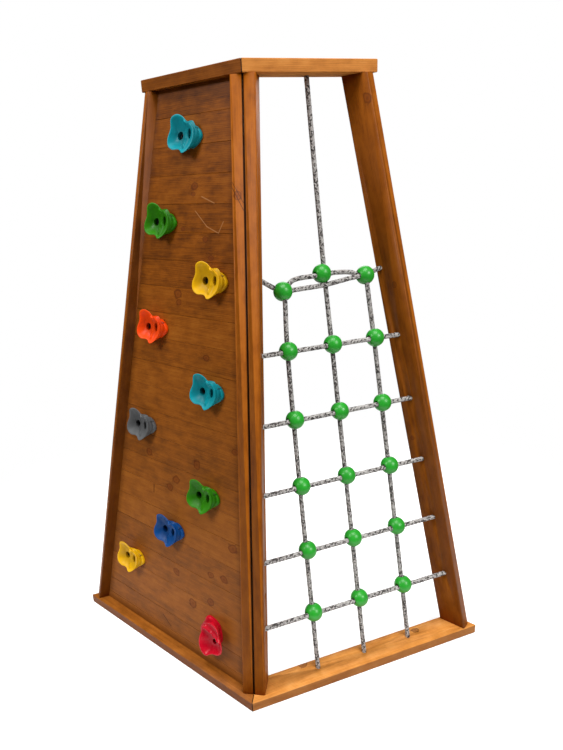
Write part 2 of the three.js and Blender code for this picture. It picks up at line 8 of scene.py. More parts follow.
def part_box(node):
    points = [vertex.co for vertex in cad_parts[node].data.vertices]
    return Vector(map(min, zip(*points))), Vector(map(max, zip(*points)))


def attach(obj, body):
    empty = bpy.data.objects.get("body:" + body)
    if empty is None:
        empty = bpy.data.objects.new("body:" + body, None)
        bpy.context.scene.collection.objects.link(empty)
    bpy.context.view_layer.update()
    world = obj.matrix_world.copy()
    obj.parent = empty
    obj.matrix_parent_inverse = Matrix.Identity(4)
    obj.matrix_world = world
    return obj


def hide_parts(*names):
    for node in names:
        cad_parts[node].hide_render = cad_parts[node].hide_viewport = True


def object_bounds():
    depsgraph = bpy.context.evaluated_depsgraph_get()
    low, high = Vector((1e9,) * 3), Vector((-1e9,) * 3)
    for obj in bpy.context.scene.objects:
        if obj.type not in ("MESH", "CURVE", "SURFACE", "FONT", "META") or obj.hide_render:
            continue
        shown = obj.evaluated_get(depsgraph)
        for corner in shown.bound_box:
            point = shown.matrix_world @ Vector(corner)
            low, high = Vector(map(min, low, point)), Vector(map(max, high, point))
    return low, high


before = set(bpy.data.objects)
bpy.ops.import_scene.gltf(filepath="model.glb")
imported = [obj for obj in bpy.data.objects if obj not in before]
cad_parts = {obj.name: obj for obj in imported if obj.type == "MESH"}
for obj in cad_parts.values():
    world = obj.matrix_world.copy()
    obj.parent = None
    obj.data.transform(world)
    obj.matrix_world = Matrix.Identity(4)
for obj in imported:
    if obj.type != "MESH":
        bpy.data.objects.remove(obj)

cad_low, cad_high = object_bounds()

# Pyramid, from the frame
sides = 6
half_corner = math.pi / sides
foot_board_low, foot_board_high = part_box("net_foot_board")
cap_board_low, cap_board_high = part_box("net_cap_board")
height = cad_high.z
timber = foot_board_high.z
foot_side = foot_board_high.x - foot_board_low.x
cap_side = cap_board_high.x - cap_board_low.x
fit_gap = 0.0003


def side_at(z):
    return foot_side + (cap_side - foot_side) * z / height


def apothem_at(z):
    return side_at(z) / 2 / math.tan(half_corner)


def rail_at(y, gap=0.0):
    """How far across a panel, at a depth y from the axis, the left rail's inner face stands."""
    return (rail_face + gap + y * math.sin(half_corner)) / math.cos(half_corner)


axis = Vector(((foot_board_low.x + foot_board_high.x) / 2, foot_board_low.y + apothem_at(0), 0))
lean = math.atan((apothem_at(0) - apothem_at(height)) / height)
corner_lean = math.atan((side_at(0) - side_at(height)) / 2 / math.sin(half_corner) / height)
foot_top = timber
cap_underside = height - timber
corner_gap = 0.0012
rail_face = corner_gap / 2 + timber
net_rail_inset = 0.008
# A rail's setback from the pyramid's corner, and its width: at the shared corner and at the outer ones
corner_rail = (0.019, 0.07)
outer_rail = (0.018, 0.094)

# Net, as the rope routes of the model
rope_diameter = 0.016
rope_radius = rope_diameter / 2
rope_step = rope_radius + fit_gap
rope_in_rail = 0.032
rope_in_board = 0.028
rung_count = 6
lowest_rung = 0.25
rung_pitch = 0.2225
top_rung = lowest_rung + (rung_count - 1) * rung_pitch
column_spread_foot, column_spread_top = 0.184, 0.155
net_setback_foot, net_setback_top = 0.035, 0.054
ball_diameter = 0.062
top_ball_drop = {"left": 0.035, "centre": -0.006, "right": 0.015}
top_ball_shift = {"left": 0.0, "centre": -0.013, "right": -0.011}
centre_rope_cap_shift = 0.01
strand_rise = {"near_left": 0.008, "left": 0.017, "centre": 0.009, "right": 0.006}
strand_dip = 0.004
bend_radius = 0.017
weave_run = 0.045
column_sign = {"left": -1, "centre": 0, "right": 1}

# Wall boarding, in a frame that leans with the panel: x across, y into the boards, z up the slope
board_recess = 0.03
board_thickness = 0.018
board_cover = 0.0916
board_pairs = 10
lowest_foot = 0.032
wide_foot = lowest_foot + 0.066
regular_foot = wide_foot + 0.123
wall_origin = Vector((0, board_recess - apothem_at(foot_top), foot_top))
wall_length = (cap_underside - foot_top) / math.cos(lean)
wall_turn = -2 * half_corner
wall_frame = (Matrix.Translation(axis) @ Matrix.Rotation(wall_turn, 4, "Z")
              @ Matrix.Translation(wall_origin) @ Matrix.Rotation(-lean, 4, "X"))


# Shader values that add, subtract and multiply as numbers do
def reckoned(operation):
    """A method that sends a value, and what it is given, through one Math node."""
    return lambda flow, *others: flow.maths(operation, flow, *others)


class Flow:
    def __init__(self, nodes, socket):
        self.nodes = nodes
        self.socket = socket

    def maths(self, operation, *values):
        return self.nodes.node("ShaderNodeMath", {"operation": operation}, dict(enumerate(values)))

    __add__ = __radd__ = reckoned("ADD")
    __sub__ = reckoned("SUBTRACT")
    __mul__ = __rmul__ = reckoned("MULTIPLY")
    __truediv__ = reckoned("DIVIDE")
    __pow__ = reckoned("POWER")
    whole = reckoned("FLOOR")
    part = reckoned("FRACT")
    size = reckoned("ABSOLUTE")
    below = reckoned("LESS_THAN")
    at_least = reckoned("MAXIMUM")
    at_most = reckoned("MINIMUM")

    def __rsub__(self, other):
        return self.maths("SUBTRACT", other, self)

    def ease(self, low, high, to_low=0.0, to_high=1.0):
        settings = {"interpolation_type": "SMOOTHSTEP"}
        return self.nodes.node("ShaderNodeMapRange", settings, {
            "Value": self, "From Min": low, "From Max": high, "To Min": to_low, "To Max": to_high})


class Nodes:
    """The nodes of one tree."""

    def __init__(self, tree):
        self.tree = tree

    def feed(self, socket, value):
        if isinstance(value, Flow):
            self.tree.links.new(value.socket, socket)
        else:
            socket.default_value = value

    def node(self, kind, settings=None, sockets=None, output=0):
        made = self.tree.nodes.new(kind)
        for setting, value in (settings or {}).items():
            if setting == "stops":
                self.set_stops(made.color_ramp, value)
            else:
                setattr(made, setting, value)
        for socket, value in (sockets or {}).items():
            self.feed(made.inputs[socket], value)
        return Flow(self, made.outputs[output])

    def set_stops(self, ramp, stops):
        while len(ramp.elements) < len(stops):
            ramp.elements.new(0.5)
        for element, (place, colour) in zip(ramp.elements, stops):
            element.position = place
            element.color = colour


class Finish(Nodes):
    """One material: its constants, its patterns and what they paint."""

    def __init__(self, name, **constants):
        self.material = bpy.data.materials.new(name)
        self.material.use_nodes = True
        super().__init__(self.material.node_tree)
        self.shader = self.tree.nodes["Principled BSDF"]
        self.paint(**constants)

    def paint(self, **values):
        for socket, value in values.items():
            self.feed(self.shader.inputs[socket.replace("_", " ")], value)

    def bump(self, relief, distance, strength):
        sockets = {"Height": relief, "Distance": distance, "Strength": strength}
        self.paint(Normal=self.node("ShaderNodeBump", None, sockets))

    def ramp(self, value, stops):
        return self.node("ShaderNodeValToRGB", {"stops": stops}, {"Fac": value})

    def blend(self, share, first, second):
        return self.node("ShaderNodeMix", {"data_type": "RGBA"}, {0: share, 6: first, 7: second}, output=2)

    def vector(self, x, y, z):
        return self.node("ShaderNodeCombineXYZ", None, {0: x, 1: y, 2: z})

    def parts(self, vector):
        split = self.node("ShaderNodeSeparateXYZ", None, {0: vector}).socket.node
        return [Flow(self, output) for output in split.outputs]

    def object_place(self, location=(0, 0, 0), turn=(0, 0, 0)):
        place = self.node("ShaderNodeTexCoord", output="Object")
        return self.node("ShaderNodeMapping", {"vector_type": "TEXTURE"}, {
            "Vector": place, "Location": location, "Rotation": turn})

    def kept(self, name):
        return self.node("ShaderNodeAttribute", {"attribute_name": name}, output="Fac")

    def noise(self, vector, scale, detail=3.0, roughness=0.55):
        return self.node("ShaderNodeTexNoise", None, {
            "Vector": vector, "Scale": scale, "Detail": detail, "Roughness": roughness})

    def grain(self, x, y, z, detail, roughness=0.55):
        return self.noise(self.vector(x, y, z), 1.0, detail, roughness)

    def scatter(self, number):
        return self.node("ShaderNodeTexWhiteNoise", {"noise_dimensions": "1D"}, {"W": number})

    def stroke(self, run, side, ends):
        """1 on a straight stroke between two places, 0 outside its half width."""
        run0, side0, run1, side1, half = ends
        reach_run, reach_side = run1 - run0, side1 - side0
        square = reach_run ** 2 + reach_side ** 2
        share = (run - run0) * (reach_run / square) + (side - side0) * (reach_side / square)
        share = share.at_least(0.0).at_most(1.0)
        off_run = run - run0 - share * reach_run
        off_side = side - side0 - share * reach_side
        distance = (off_run * off_run + off_side * off_side) ** 0.5
        return distance.ease(half * 0.4, half, 1.0, 0.0)


def rgb(red, green, blue):
    """A shown colour, 0 to 255, as the linear colour that a socket takes."""
    linear = [((c / 255 + 0.055) / 1.055) ** 2.4 if c > 10 else c / 255 / 12.92 for c in (red, green, blue)]
    return (*linear, 1.0)


def tinted(colour, factor, lift=0.0):
    return (*(min(1.0, c * factor + lift) for c in colour[:3]), 1.0)


# Stained pine, each stain as its dark, middle and pale tone
# The net's and the wall's cap and foot boards are the same pine: the net's tones hold painted light, the
# wall's painted shade
net_cap_stain_lit = rgb(166, 96, 34), rgb(215, 137, 60), rgb(240, 168, 92)
net_foot_stain_lit = rgb(164, 98, 36), rgb(216, 142, 66), rgb(242, 178, 104)
wall_cap_stain_shaded = rgb(88, 42, 4), rgb(130, 70, 14), rgb(160, 92, 28)
wall_foot_stain_shaded = rgb(98, 52, 12), rgb(152, 88, 28), rgb(186, 116, 46)
rail_stain = rgb(106, 51, 4), rgb(149, 80, 12), rgb(173, 101, 26)
board_stain = rgb(68, 30, 2), rgb(134, 71, 8), rgb(166, 98, 26)
stain_shares = (0.15, 0.5, 0.9)
knot_core, knot_ring, knot_wood = rgb(74, 34, 10), rgb(72, 30, 6), rgb(112, 52, 14)
# Painted shade: where the boards meet the rails, cap and foot and on a rail's inner face; along the line
# where timbers meet; on a foot board's front
painted_shade_tone, joint_shade_tone, front_shade_tone = rgb(62, 28, 4), rgb(26, 10, 3), rgb(96, 48, 14)
greyer_low_tone, crack_tone, scratch_tone = rgb(144, 98, 58), rgb(58, 26, 8), rgb(196, 142, 92)

# Wood figure: growth rings, how far painted shade reaches from the rails, the cap and the foot, where the
# wall turns greyer low down, and the depth of the grain
rings_per_metre = 190.0
heart_depth, heart_bow, heart_spread, ring_wander = 0.045, 0.05, 0.06, 0.03
seam_blur = 0.0005
shade_from_rail, shade_from_cap, shade_from_foot = 0.035, 0.07, 0.04
greyer_from, greyer_to = 0.3, 1.6
arris_from, arris_to = 0.006, 0.001
grain_relief = 0.0005

# The planes where a timber meets its neighbour at the shared corner, as shares of run and depth, with the
# half width of the painted shade line there; and the boards' half width at their foot and how fast it
# shrinks
at_corner = (0.0, 1.0, 0.0036)
at_left_mitre = (-math.cos(half_corner), math.sin(half_corner), 0.0016)
at_right_mitre = (math.cos(half_corner), math.sin(half_corner), 0.0016)
board_taper = -math.sin(lean) * math.tan(half_corner)
board_half_foot = -rail_at(wall_origin.y)


def board_chances(finish, across, seed):
    """Two random shares for the board at a height."""
    number = ((across - regular_foot) / board_cover).whole()
    for foot, step in ((wide_foot, 17.3), (lowest_foot, 5.7)):
        number = number + across.ease(foot - seam_blur, foot + seam_blur) * step
    return finish.scatter(number + seed), finish.scatter(number * 1.7 + 3.1 + seed)


def board_layers(run, across):
    """Greyer and paler low on the wall, and painted shade where the boards meet the rails, the cap and the
    foot.
    """
    half_width = across * board_taper + board_half_foot
    near_rail = (half_width - run.size()).ease(0.0, shade_from_rail, 1.0, 0.0)
    near_cap = across.ease(wall_length - shade_from_cap, wall_length)
    board_edge_shade = near_rail.at_least(near_cap).at_least(across.ease(0.0, shade_from_foot, 1.0, 0.0))
    return [(across.ease(greyer_from, greyer_to, 0.22, 0.0), greyer_low_tone), (board_edge_shade * 0.4, painted_shade_tone)]


def knot_figure(finish, knots, run, side, shift):
    """How far the knots pull the rings aside, and the layers of knot wood, rim and heart."""
    uneven = finish.grain(run * 45.0, side * 70.0, shift, 2.0)
    pull, body, rim, heart = 0.0, 0.0, 0.0, 0.0
    for knot_run, knot_side, radius in knots:
        away = finish.vector((run - knot_run) * 0.8, side - knot_side, 0.0)
        distance = finish.node("ShaderNodeVectorMath", {"operation": "LENGTH"}, {0: away}, output="Value")
        distance = distance * (uneven * 1.5 + 0.3)
        pull = distance.ease(0.0, radius * 4.0, 1.0, 0.0) * radius * 1.2 + pull
        body = distance.ease(radius * 0.85, radius * 1.15, 1.0, 0.0) + body
        within = distance.ease(radius, radius * 1.35, 1.0, 0.0)
        rim = distance.ease(radius * 0.7, radius) * within + rim
        heart = distance.ease(radius * 0.1, radius * 0.5, 1.0, 0.0) + heart
    return pull, [(body.at_most(1.0) * 0.5, knot_wood), (rim.at_most(1.0) * 0.6, knot_ring),
                  (heart.at_most(1.0) * 0.35, knot_core)]


def pine(name, stain, location, turn, along="X", seed=0.0, boards=False, knots=(), knots_on="across",
         cracks=(), scratches=(), joint=None, inner_face=0.0, dark_edge=0.0):
    """Plain-sawn pine with its grain along one axis of a turned frame.

    A knot is (run, side, radius), a crack or scratch (run, side, run, side, half width); the side is
    measured across the board or into its depth. Painted shade goes on a rail's inner face, on a foot
    board's front below its top, and along the line where a timber meets its neighbour.
    """
    finish = Finish(name, Specular_IOR_Level=0.09, Coat_Weight=0.03, Coat_Roughness=0.22)
    x, y, z = finish.parts(finish.object_place(location, turn))
    run, across, depth = (x, z, y) if along == "X" else (z, y, x)
    side = across if knots_on == "across" else depth
    chance, shade = board_chances(finish, across, seed) if boards else (finish.scatter(seed + 0.37), 0.5)
    shift = chance * 9.0
    pull, knot_layers = knot_figure(finish, knots, run, side, shift) if knots else (0.0, [])

    wander = finish.grain(run * 1.6 + shift, across * 6.0, depth * 6.0 + shift, 2.0)
    bow = finish.grain(run * 0.7 + shift, across * 2.0 + shift, 0.0, 1.0)
    lifted = across - (chance - 0.5) * heart_spread + (wander - 0.5) * ring_wander + pull
    deep = depth + heart_depth + (bow - 0.5) * heart_bow
    spoke = (lifted * lifted + deep * deep) ** 0.5
    ring = (spoke * rings_per_metre + (wander - 0.5) * 2.0).part()
    late = ring.ease(0.3, 0.95) * ring.ease(0.96, 1.0, 1.0, 0.0)
    fibre = finish.grain(run * 14.0 + shift, across * 380.0, depth * 380.0, 3.0, 0.6)
    streak = finish.grain(run * 4.0 + shift, across * 90.0 + shift, depth * 90.0, 3.0)
    blotch = finish.grain(run * 15.0, across * 26.0 + shift, depth * 26.0, 4.0, 0.65)
    tone = (streak - 0.5) * 0.35 + (blotch - 0.5) * 0.7 + (fibre - 0.5) * 0.4 + 0.5
    tone = tone - late * 0.09 + (shade - 0.5) * 0.16
    colour = finish.ramp(tone, list(zip(stain_shares, stain)))

    front = depth.ease(board_thickness * 0.3, board_thickness * 0.6, 1.0, 0.0) if boards else 1.0
    layers = (board_layers(run, across) if boards else []) + knot_layers
    layers += [(finish.stroke(run, side, crack) * front * 0.85, crack_tone) for crack in cracks]
    layers += [(finish.stroke(run, side, scratch) * front * 0.45, scratch_tone) for scratch in scratches]
    # Painted shade on a rail's inner face
    if inner_face:
        inner = depth.size().ease(rail_face - arris_from, rail_face - arris_to, 0.0, inner_face)
        layers.append((inner, painted_shade_tone))
    # Painted shade on a foot board's front and sides below its top face
    if dark_edge:
        layers.append((across.ease(timber - arris_from, timber - arris_to, dark_edge, 0.0), front_shade_tone))
    # Painted shade along the line where a timber meets its neighbour
    if joint:
        run_share, depth_share, half = joint
        off_joint = (run * run_share + depth * depth_share).size()
        layers.append((off_joint.ease(half * 0.6, half * 1.4, 0.95, 0.0), joint_shade_tone))
    for share, layer_tone in layers:
        colour = finish.blend(share, colour, layer_tone)
    finish.paint(Base_Color=colour, Roughness=(fibre - 0.5) * 0.18 + 0.46 - late * 0.05)
    finish.bump(fibre * 0.5 + late * 0.25 + blotch * 0.3, grain_relief, 0.5)
    return finish.material


# Moulded plastic and resin. The hollow attribute is painted shade: 1 inside bores, where light hardly
# reaches, and rising on outward-facing surfaces that lie deeper, such as a hold's dish. The rim attribute
# is 1 on a hold's rim, where a highlight is painted.
def resin(name, colour, roughness):
    finish = Finish(name, Specular_IOR_Level=0.2)
    place = finish.object_place()
    cloud = finish.noise(place, 16.0, 3.0)
    grit = finish.noise(place, 900.0, 2.0, 0.7)
    worn = finish.noise(place, 55.0, 4.0, 0.6)
    tone = finish.blend(cloud.ease(0.35, 0.75), colour, tinted(colour, 0.8))
    # Painted highlight along a hold's rim
    tone = finish.blend(finish.kept("rim") * 0.5, tone, tinted(colour, 1.2, 0.015))
    finish.paint(
        # Painted shade in bores, wells and the deeper dish
        Base_Color=finish.blend(finish.kept("hollow"), tone, tinted(colour, 0.25)),
        Roughness=worn.ease(0.25, 0.75, roughness - 0.08, roughness + 0.1))
    finish.bump(grit * 0.6 + worn * 0.5, 0.0005, 0.4)
    return finish.material


def moulded(name, colour, roughness):
    finish = Finish(name, Specular_IOR_Level=0.5, Coat_Weight=0.1, Coat_Roughness=0.2)
    place = finish.object_place()
    cloud = finish.noise(place, 30.0, 2.0)
    scuff = finish.noise(place, 320.0, 3.0, 0.65)
    tone = finish.blend(cloud.ease(0.3, 0.7), colour, tinted(colour, 0.85))
    finish.paint(
        # Painted shade inside the ball's bores and screw holes
        Base_Color=finish.blend(finish.kept("hollow"), tone, tinted(colour, 0.1)),
        Roughness=scuff.ease(0.3, 0.7, roughness - 0.04, roughness + 0.08))
    finish.bump(scuff, 0.0001, 0.3)
    return finish.material


def metal(name, darker, lighter):
    finish = Finish(name, Metallic=1.0)
    bloom = finish.noise(finish.object_place(), 240.0, 4.0, 0.6)
    colour = finish.ramp(bloom, [(0.3, darker), (0.7, lighter)])
    finish.paint(Base_Color=colour, Roughness=bloom.ease(0.3, 0.7, 0.22, 0.42))
    finish.bump(bloom, 0.00008, 0.4)
    return finish.material


# Braided rope: two families of strands wind opposite ways and pass over and under in pairs
braid_strands = 8
braid_lay = 0.052
braid_relief = 0.0011
dark_yarn, worn_yarn = rgb(40, 37, 37), rgb(72, 67, 66)
pale_yarn, clean_yarn = rgb(158, 153, 150), rgb(212, 209, 205)
furrow_shade_tone, fuzz_tone = rgb(110, 104, 102), rgb(140, 134, 130)


def braid():
    finish = Finish("braided_rope", Roughness=0.85, Specular_IOR_Level=0.2)
    along, around = finish.parts(finish.node("ShaderNodeUVMap", {"uv_map": "route"}))[:2]
    turn = around * braid_strands
    travel = along * (braid_strands / braid_lay)
    right, left = travel + turn, travel - turn
    over = (((right.whole() + left.whole()) * 0.25).part()).below(0.5)
    right_bow = 1.0 - ((right.part() - 0.5) * 2.0) ** 2.0
    left_bow = 1.0 - ((left.part() - 0.5) * 2.0) ** 2.0
    relief = over * right_bow + (1.0 - over) * left_bow
    fleck_right = finish.scatter(right.whole() * 0.31 + (left * 0.5).whole() * 7.7)
    fleck_left = finish.scatter(left.whole() * 0.43 + (right * 0.5).whole() * 5.3)
    fleck = over * fleck_right + (1.0 - over) * fleck_left
    yarn = finish.grain(along * 900.0, around * 60.0, 0.0, 3.0, 0.7)
    colour = finish.ramp(fleck, [(0.0, dark_yarn), (0.28, worn_yarn), (0.36, pale_yarn), (1.0, clean_yarn)])
    # Painted shade in the furrows between strands
    colour = finish.blend(relief.ease(0.0, 0.6, 0.6, 0.0), colour, furrow_shade_tone)
    colour = finish.blend(yarn.ease(0.35, 0.7, 0.0, 0.35), colour, fuzz_tone)
    finish.paint(Base_Color=colour)
    finish.bump(relief + yarn * 0.3, braid_relief, 0.9)
    return finish.material


# Pieces: picking, copying, cutting and handing them to the frame
def deselect():
    bpy.ops.object.select_all(action="DESELECT")


def take(piece):
    deselect()
    piece.select_set(True)
    bpy.context.view_layer.objects.active = piece


def smooth(piece, angle):
    take(piece)
    bpy.ops.object.shade_smooth_by_angle(angle=math.radians(angle))


def copy_of(piece, name):
    """A copy with its own mesh."""
    copy = piece.copy()
    copy.data = piece.data.copy()
    copy.name = name
    bpy.context.collection.objects.link(copy)
    return copy


def add_object(name, data):
    made = bpy.data.objects.new(name, data)
    bpy.context.collection.objects.link(made)
    return made


def piece_from(mesh, name):
    data = bpy.data.meshes.new(name)
    mesh.to_mesh(data)
    mesh.free()
    return add_object(name, data)


def scrap(piece):
    bpy.data.objects.remove(piece, do_unlink=True)


def settle(piece, material, slot, *nodes):
    piece.data.materials.clear()
    piece.data.materials.append(material)
    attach(piece, "root")
    if nodes:
        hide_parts(*nodes)


def add_cutter(start, end, radius, radius_end=None, facets=32):
    reach = end - start
    bpy.ops.mesh.primitive_cone_add(
        vertices=facets, radius1=radius, radius2=radius if radius_end is None else radius_end,
        depth=reach.length, location=(start + end) / 2, rotation=reach.to_track_quat("Z", "Y").to_euler())
    bpy.ops.object.transform_apply()
    return bpy.context.object


def carve(piece, cutter, operation="DIFFERENCE"):
    take(piece)
    boolean = piece.modifiers.new("carve", "BOOLEAN")
    boolean.operation = operation
    boolean.solver = "MANIFOLD"
    boolean.object = cutter
    bpy.ops.object.modifier_apply(modifier=boolean.name)
    scrap(cutter)


def drill(piece, low, high, radius, radius_end=None, facets=32, x=0.0, y=0.0):
    """A hole parallel to z from one height to another."""
    carve(piece, add_cutter(Vector((x, y, low)), Vector((x, y, high)), radius, radius_end, facets))


def keep(piece, name, share_at):
    """Keeps a share from 0 to 1 at each point as an attribute that the materials read."""
    shares = piece.data.attributes.new(name, "FLOAT", "POINT")
    for vert in piece.data.vertices:
        shares.data[vert.index].value = min(1.0, max(0.0, float(share_at(vert))))


def skin(mesh, rings):
    """Closes a tube over rings of vertices and lists its wall faces with their steps along and around."""
    walls = []
    for i, (ring, after) in enumerate(zip(rings, rings[1:])):
        for k in range(len(ring)):
            j = (k + 1) % len(ring)
            walls.append((i, k, mesh.faces.new((ring[k], ring[j], after[j], after[k]))))
    mesh.faces.new(list(reversed(rings[0])))
    mesh.faces.new(rings[-1])
    return walls


# Timber and boards: a CAD node is dressed with a merged copy that has smooth arrises
merge_distance = 0.00001


def dress(node, material, slot):
    piece = copy_of(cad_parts[node], f"{node}_wood")
    for label in [key for key in piece.keys() if key.startswith("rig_")]:
        del piece[label]
    piece.parent = None
    piece.matrix_world = Matrix.Identity(4)
    take(piece)
    bpy.ops.object.mode_set(mode="EDIT")
    bpy.ops.mesh.select_all(action="SELECT")
    bpy.ops.mesh.remove_doubles(threshold=merge_distance)
    bpy.ops.object.mode_set(mode="OBJECT")
    smooth(piece, 35)
    settle(piece, material, slot, node)


def corner_timber(node, corner, seed, **marks):
    material = pine(f"pine_{node}", rail_stain, axis, (-corner_lean, 0, corner), "Z", seed, **marks)
    dress(node, material, "rail_wood")


def flat_timber(node, turn, seed, stain, **marks):
    name = "pine_" + node.removesuffix("_board")
    material = pine(name, stain, axis, (0, 0, turn), "X", seed, knots_on="depth", **marks)
    dress(node, material, "flat_wood")


corner_timber("net_left_rail", -half_corner, 1.0,
              scratches=[(1.453, -0.852, 1.414, -0.851, 0.002)], joint=at_corner)
corner_timber("net_right_rail", half_corner, 2.0, inner_face=0.3,
              knots=[(1.745, -0.844, 0.012), (1.157, -0.823, 0.008), (0.61, -0.79, 0.007)])
corner_timber("wall_left_rail", wall_turn - half_corner, 3.0, inner_face=0.5)
corner_timber("wall_right_rail", wall_turn + half_corner, 4.0, joint=at_corner,
              knots=[(1.472, -0.022, 0.01)], knots_on="depth",
              cracks=[(1.497, -0.038, 1.43, -0.004, 0.0016), (1.514, -0.038, 1.452, -0.004, 0.0013)])
# Net boards take the painted-light tones, wall boards the painted-shade tones
flat_timber("net_foot_board", 0.0, 5.0, net_foot_stain_lit, joint=at_left_mitre, dark_edge=0.62,
            knots=[(-0.229, -0.699, 0.011), (0.227, -0.713, 0.009)])
flat_timber("net_cap_board", 0.0, 6.0, net_cap_stain_lit, joint=at_left_mitre)
flat_timber("wall_foot_board", wall_turn, 7.0, wall_foot_stain_shaded, joint=at_right_mitre, dark_edge=0.7)
flat_timber("wall_cap_board", wall_turn, 8.0, wall_cap_stain_shaded, joint=at_right_mitre)

wall_place, wall_euler = wall_frame.to_translation(), wall_frame.to_euler()
board_knots = [
    (0.027, 1.651, 0.011), (0.022, 1.626, 0.007), (0.087, 1.485, 0.009), (0.118, 1.426, 0.009),
    (-0.019, 1.515, 0.007), (-0.031, 1.299, 0.013), (-0.024, 1.273, 0.009), (0.119, 1.1, 0.011),
    (-0.152, 0.702, 0.012), (0.1, 0.721, 0.013), (0.273, 0.812, 0.011), (-0.001, 0.634, 0.013),
    (-0.031, 0.598, 0.013), (0.292, 0.476, 0.015), (0.26, 0.348, 0.013), (0.198, 0.34, 0.011),
    (0.024, 0.281, 0.012), (0.117, 0.194, 0.015), (0.204, 0.236, 0.012)]
board_cracks = [(-0.12, 0.583, -0.119, 0.551, 0.003), (-0.041, 0.075, 0.006, 0.046, 0.0022)]
board_scratches = [
    (0.062, 1.617, 0.12, 1.596, 0.0022), (0.035, 1.573, 0.092, 1.524, 0.0018),
    (0.092, 1.524, 0.145, 1.504, 0.002), (0.145, 1.504, 0.164, 1.54, 0.0018)]
board_pine = pine("pine_boards", board_stain, wall_place, wall_euler, boards=True,
                  knots=board_knots, cracks=board_cracks, scratches=board_scratches)
for node in ["wall_foot_strip", "wall_lowest_board"] + [f"wall_boards_{i + 1}" for i in range(board_pairs)]:
    dress(node, board_pine, "board_wood")
cleat_pine = pine("pine_cleats", rail_stain, wall_place, wall_euler, "Z", 9.0)
for node in ("wall_left_cleat", "wall_right_cleat"):
    dress(node, cleat_pine, "rail_wood")


# Ropes along the model's routes
def rising(z, foot, top):
    """A size that changes evenly from the foot board's top to the top rung."""
    return foot + (top - foot) * (z - foot_top) / (top_rung - foot_top)


def net_point(x, z, out):
    return axis + Vector((x, rising(z, net_setback_foot, net_setback_top) - apothem_at(z) - out, z))


def column_at(z):
    return rising(z, column_spread_foot, column_spread_top)


def net_left_x(z, out):
    return rail_at(net_point(0, z, out).y - axis.y)


def net_right_x(z, out):
    return -net_left_x(z, out) - net_rail_inset / math.cos(half_corner)


def ball_place(row, column):
    z = lowest_rung + row * rung_pitch
    top = row == rung_count - 1
    x = column_sign[column] * column_at(z) + (top_ball_shift[column] if top else 0)
    return Vector((x, z - (top_ball_drop[column] if top else 0)))


last_level = lowest_rung + (rung_count - 2) * rung_pitch
top_row = {column: ball_place(rung_count - 1, column) for column in column_sign}
top_left, top_centre, top_right = top_row.values()
left_rail_place = Vector((net_left_x(top_rung, -rope_step), top_rung))
right_rail_place = Vector((net_right_x(top_rung, -rope_step), top_rung))
front, back = rope_step, -rope_step


def straight_rung_route(row):
    z = lowest_rung + row * rung_pitch
    return [net_point(net_left_x(z, front) - rope_in_rail, z, front),
            net_point(net_right_x(z, front) + rope_in_rail, z, front)]


def toward(start, end, run, rise=0.0):
    return start + (end - start).normalized() * run + Vector((0, rise))


def top_rung_route():
    left, centre, right = top_left, top_centre, top_right
    steps = [
        (toward(left_rail_place, left, -rope_in_rail), back),
        (left_rail_place, back),
        (toward(left, left_rail_place, bend_radius), back),
        (toward(left, centre, bend_radius, strand_rise["near_left"]), back),
        (toward(left, centre, weave_run, strand_rise["left"]), back),
        (toward(centre, left, weave_run, strand_rise["centre"]), front),
        (toward(centre, left, bend_radius), front),
        (toward(centre, right, bend_radius), front),
        (toward(centre, right, weave_run, strand_rise["right"]), front),
        (toward(right, centre, weave_run, strand_rise["right"]), back),
        (toward(right, centre, bend_radius), back),
        (toward(right, right_rail_place, bend_radius), back),
        (right_rail_place, back),
        (toward(right_rail_place, right, -rope_in_rail), back),
    ]
    return [net_point(*place, out) for place, out in steps]


def centre_rope_route():
    steps = [(0, foot_top - rope_in_board), (0, last_level), (0, top_centre.y),
             (centre_rope_cap_shift, cap_underside + rope_in_board)]
    return [net_point(*step, back) for step in steps]


def outer_rope_route():
    half_bend = bend_radius * (1 - math.sqrt(0.5))

    def climb(sign, corner):
        return [
            (sign * column_at(foot_top), foot_top - rope_in_board, back),
            (sign * column_at(foot_top), foot_top, back),
            (sign * column_at(last_level), last_level, back),
            (corner.x, corner.y - ball_diameter / 2, front),
            (corner.x, corner.y - bend_radius, front),
            (corner.x - sign * half_bend, corner.y - half_bend, front),
            (corner.x - sign * bend_radius, corner.y, front),
        ]

    middle = (top_centre.x, (top_left.y + top_right.y) / 2 - strand_dip, front)
    return [net_point(*step) for step in climb(-1, top_left) + [middle] + climb(1, top_right)[::-1]]


def curve_leg(p0, p1, p2, p3, samples):
    """Points from p1 to before p2 on the Catmull-Rom curve with knots spaced by the root of distance."""
    t1 = math.sqrt((p1 - p0).length)
    t2 = t1 + math.sqrt((p2 - p1).length)
    t3 = t2 + math.sqrt((p3 - p2).length)
    leg = []
    for i in range(samples):
        t = t1 + (t2 - t1) * i / samples
        a1 = p0 * ((t1 - t) / t1) + p1 * (t / t1)
        a2 = p1 * ((t2 - t) / (t2 - t1)) + p2 * ((t - t1) / (t2 - t1))
        a3 = p2 * ((t3 - t) / (t3 - t2)) + p3 * ((t - t2) / (t3 - t2))
        b1 = a1 * ((t2 - t) / t2) + a2 * (t / t2)
        b2 = a2 * ((t3 - t) / (t3 - t1)) + a3 * ((t - t1) / (t3 - t1))
        leg.append(b1 * ((t2 - t) / (t2 - t1)) + b2 * ((t - t1) / (t2 - t1)))
    return leg


def curve_legs(row, samples):
    """The curve through a row's inner points; its outer points only steer the ends."""
    return [p for leg in zip(row, row[1:], row[2:], row[3:]) for p in curve_leg(*leg, samples)]


def open_curve(points, samples):
    first, last = points[0] * 2 - points[1], points[-1] * 2 - points[-2]
    return curve_legs([first, *points, last], samples) + [points[-1]]


def closed_curve(points, samples):
    return curve_legs([points[-1], *points, points[0], points[1]], samples)


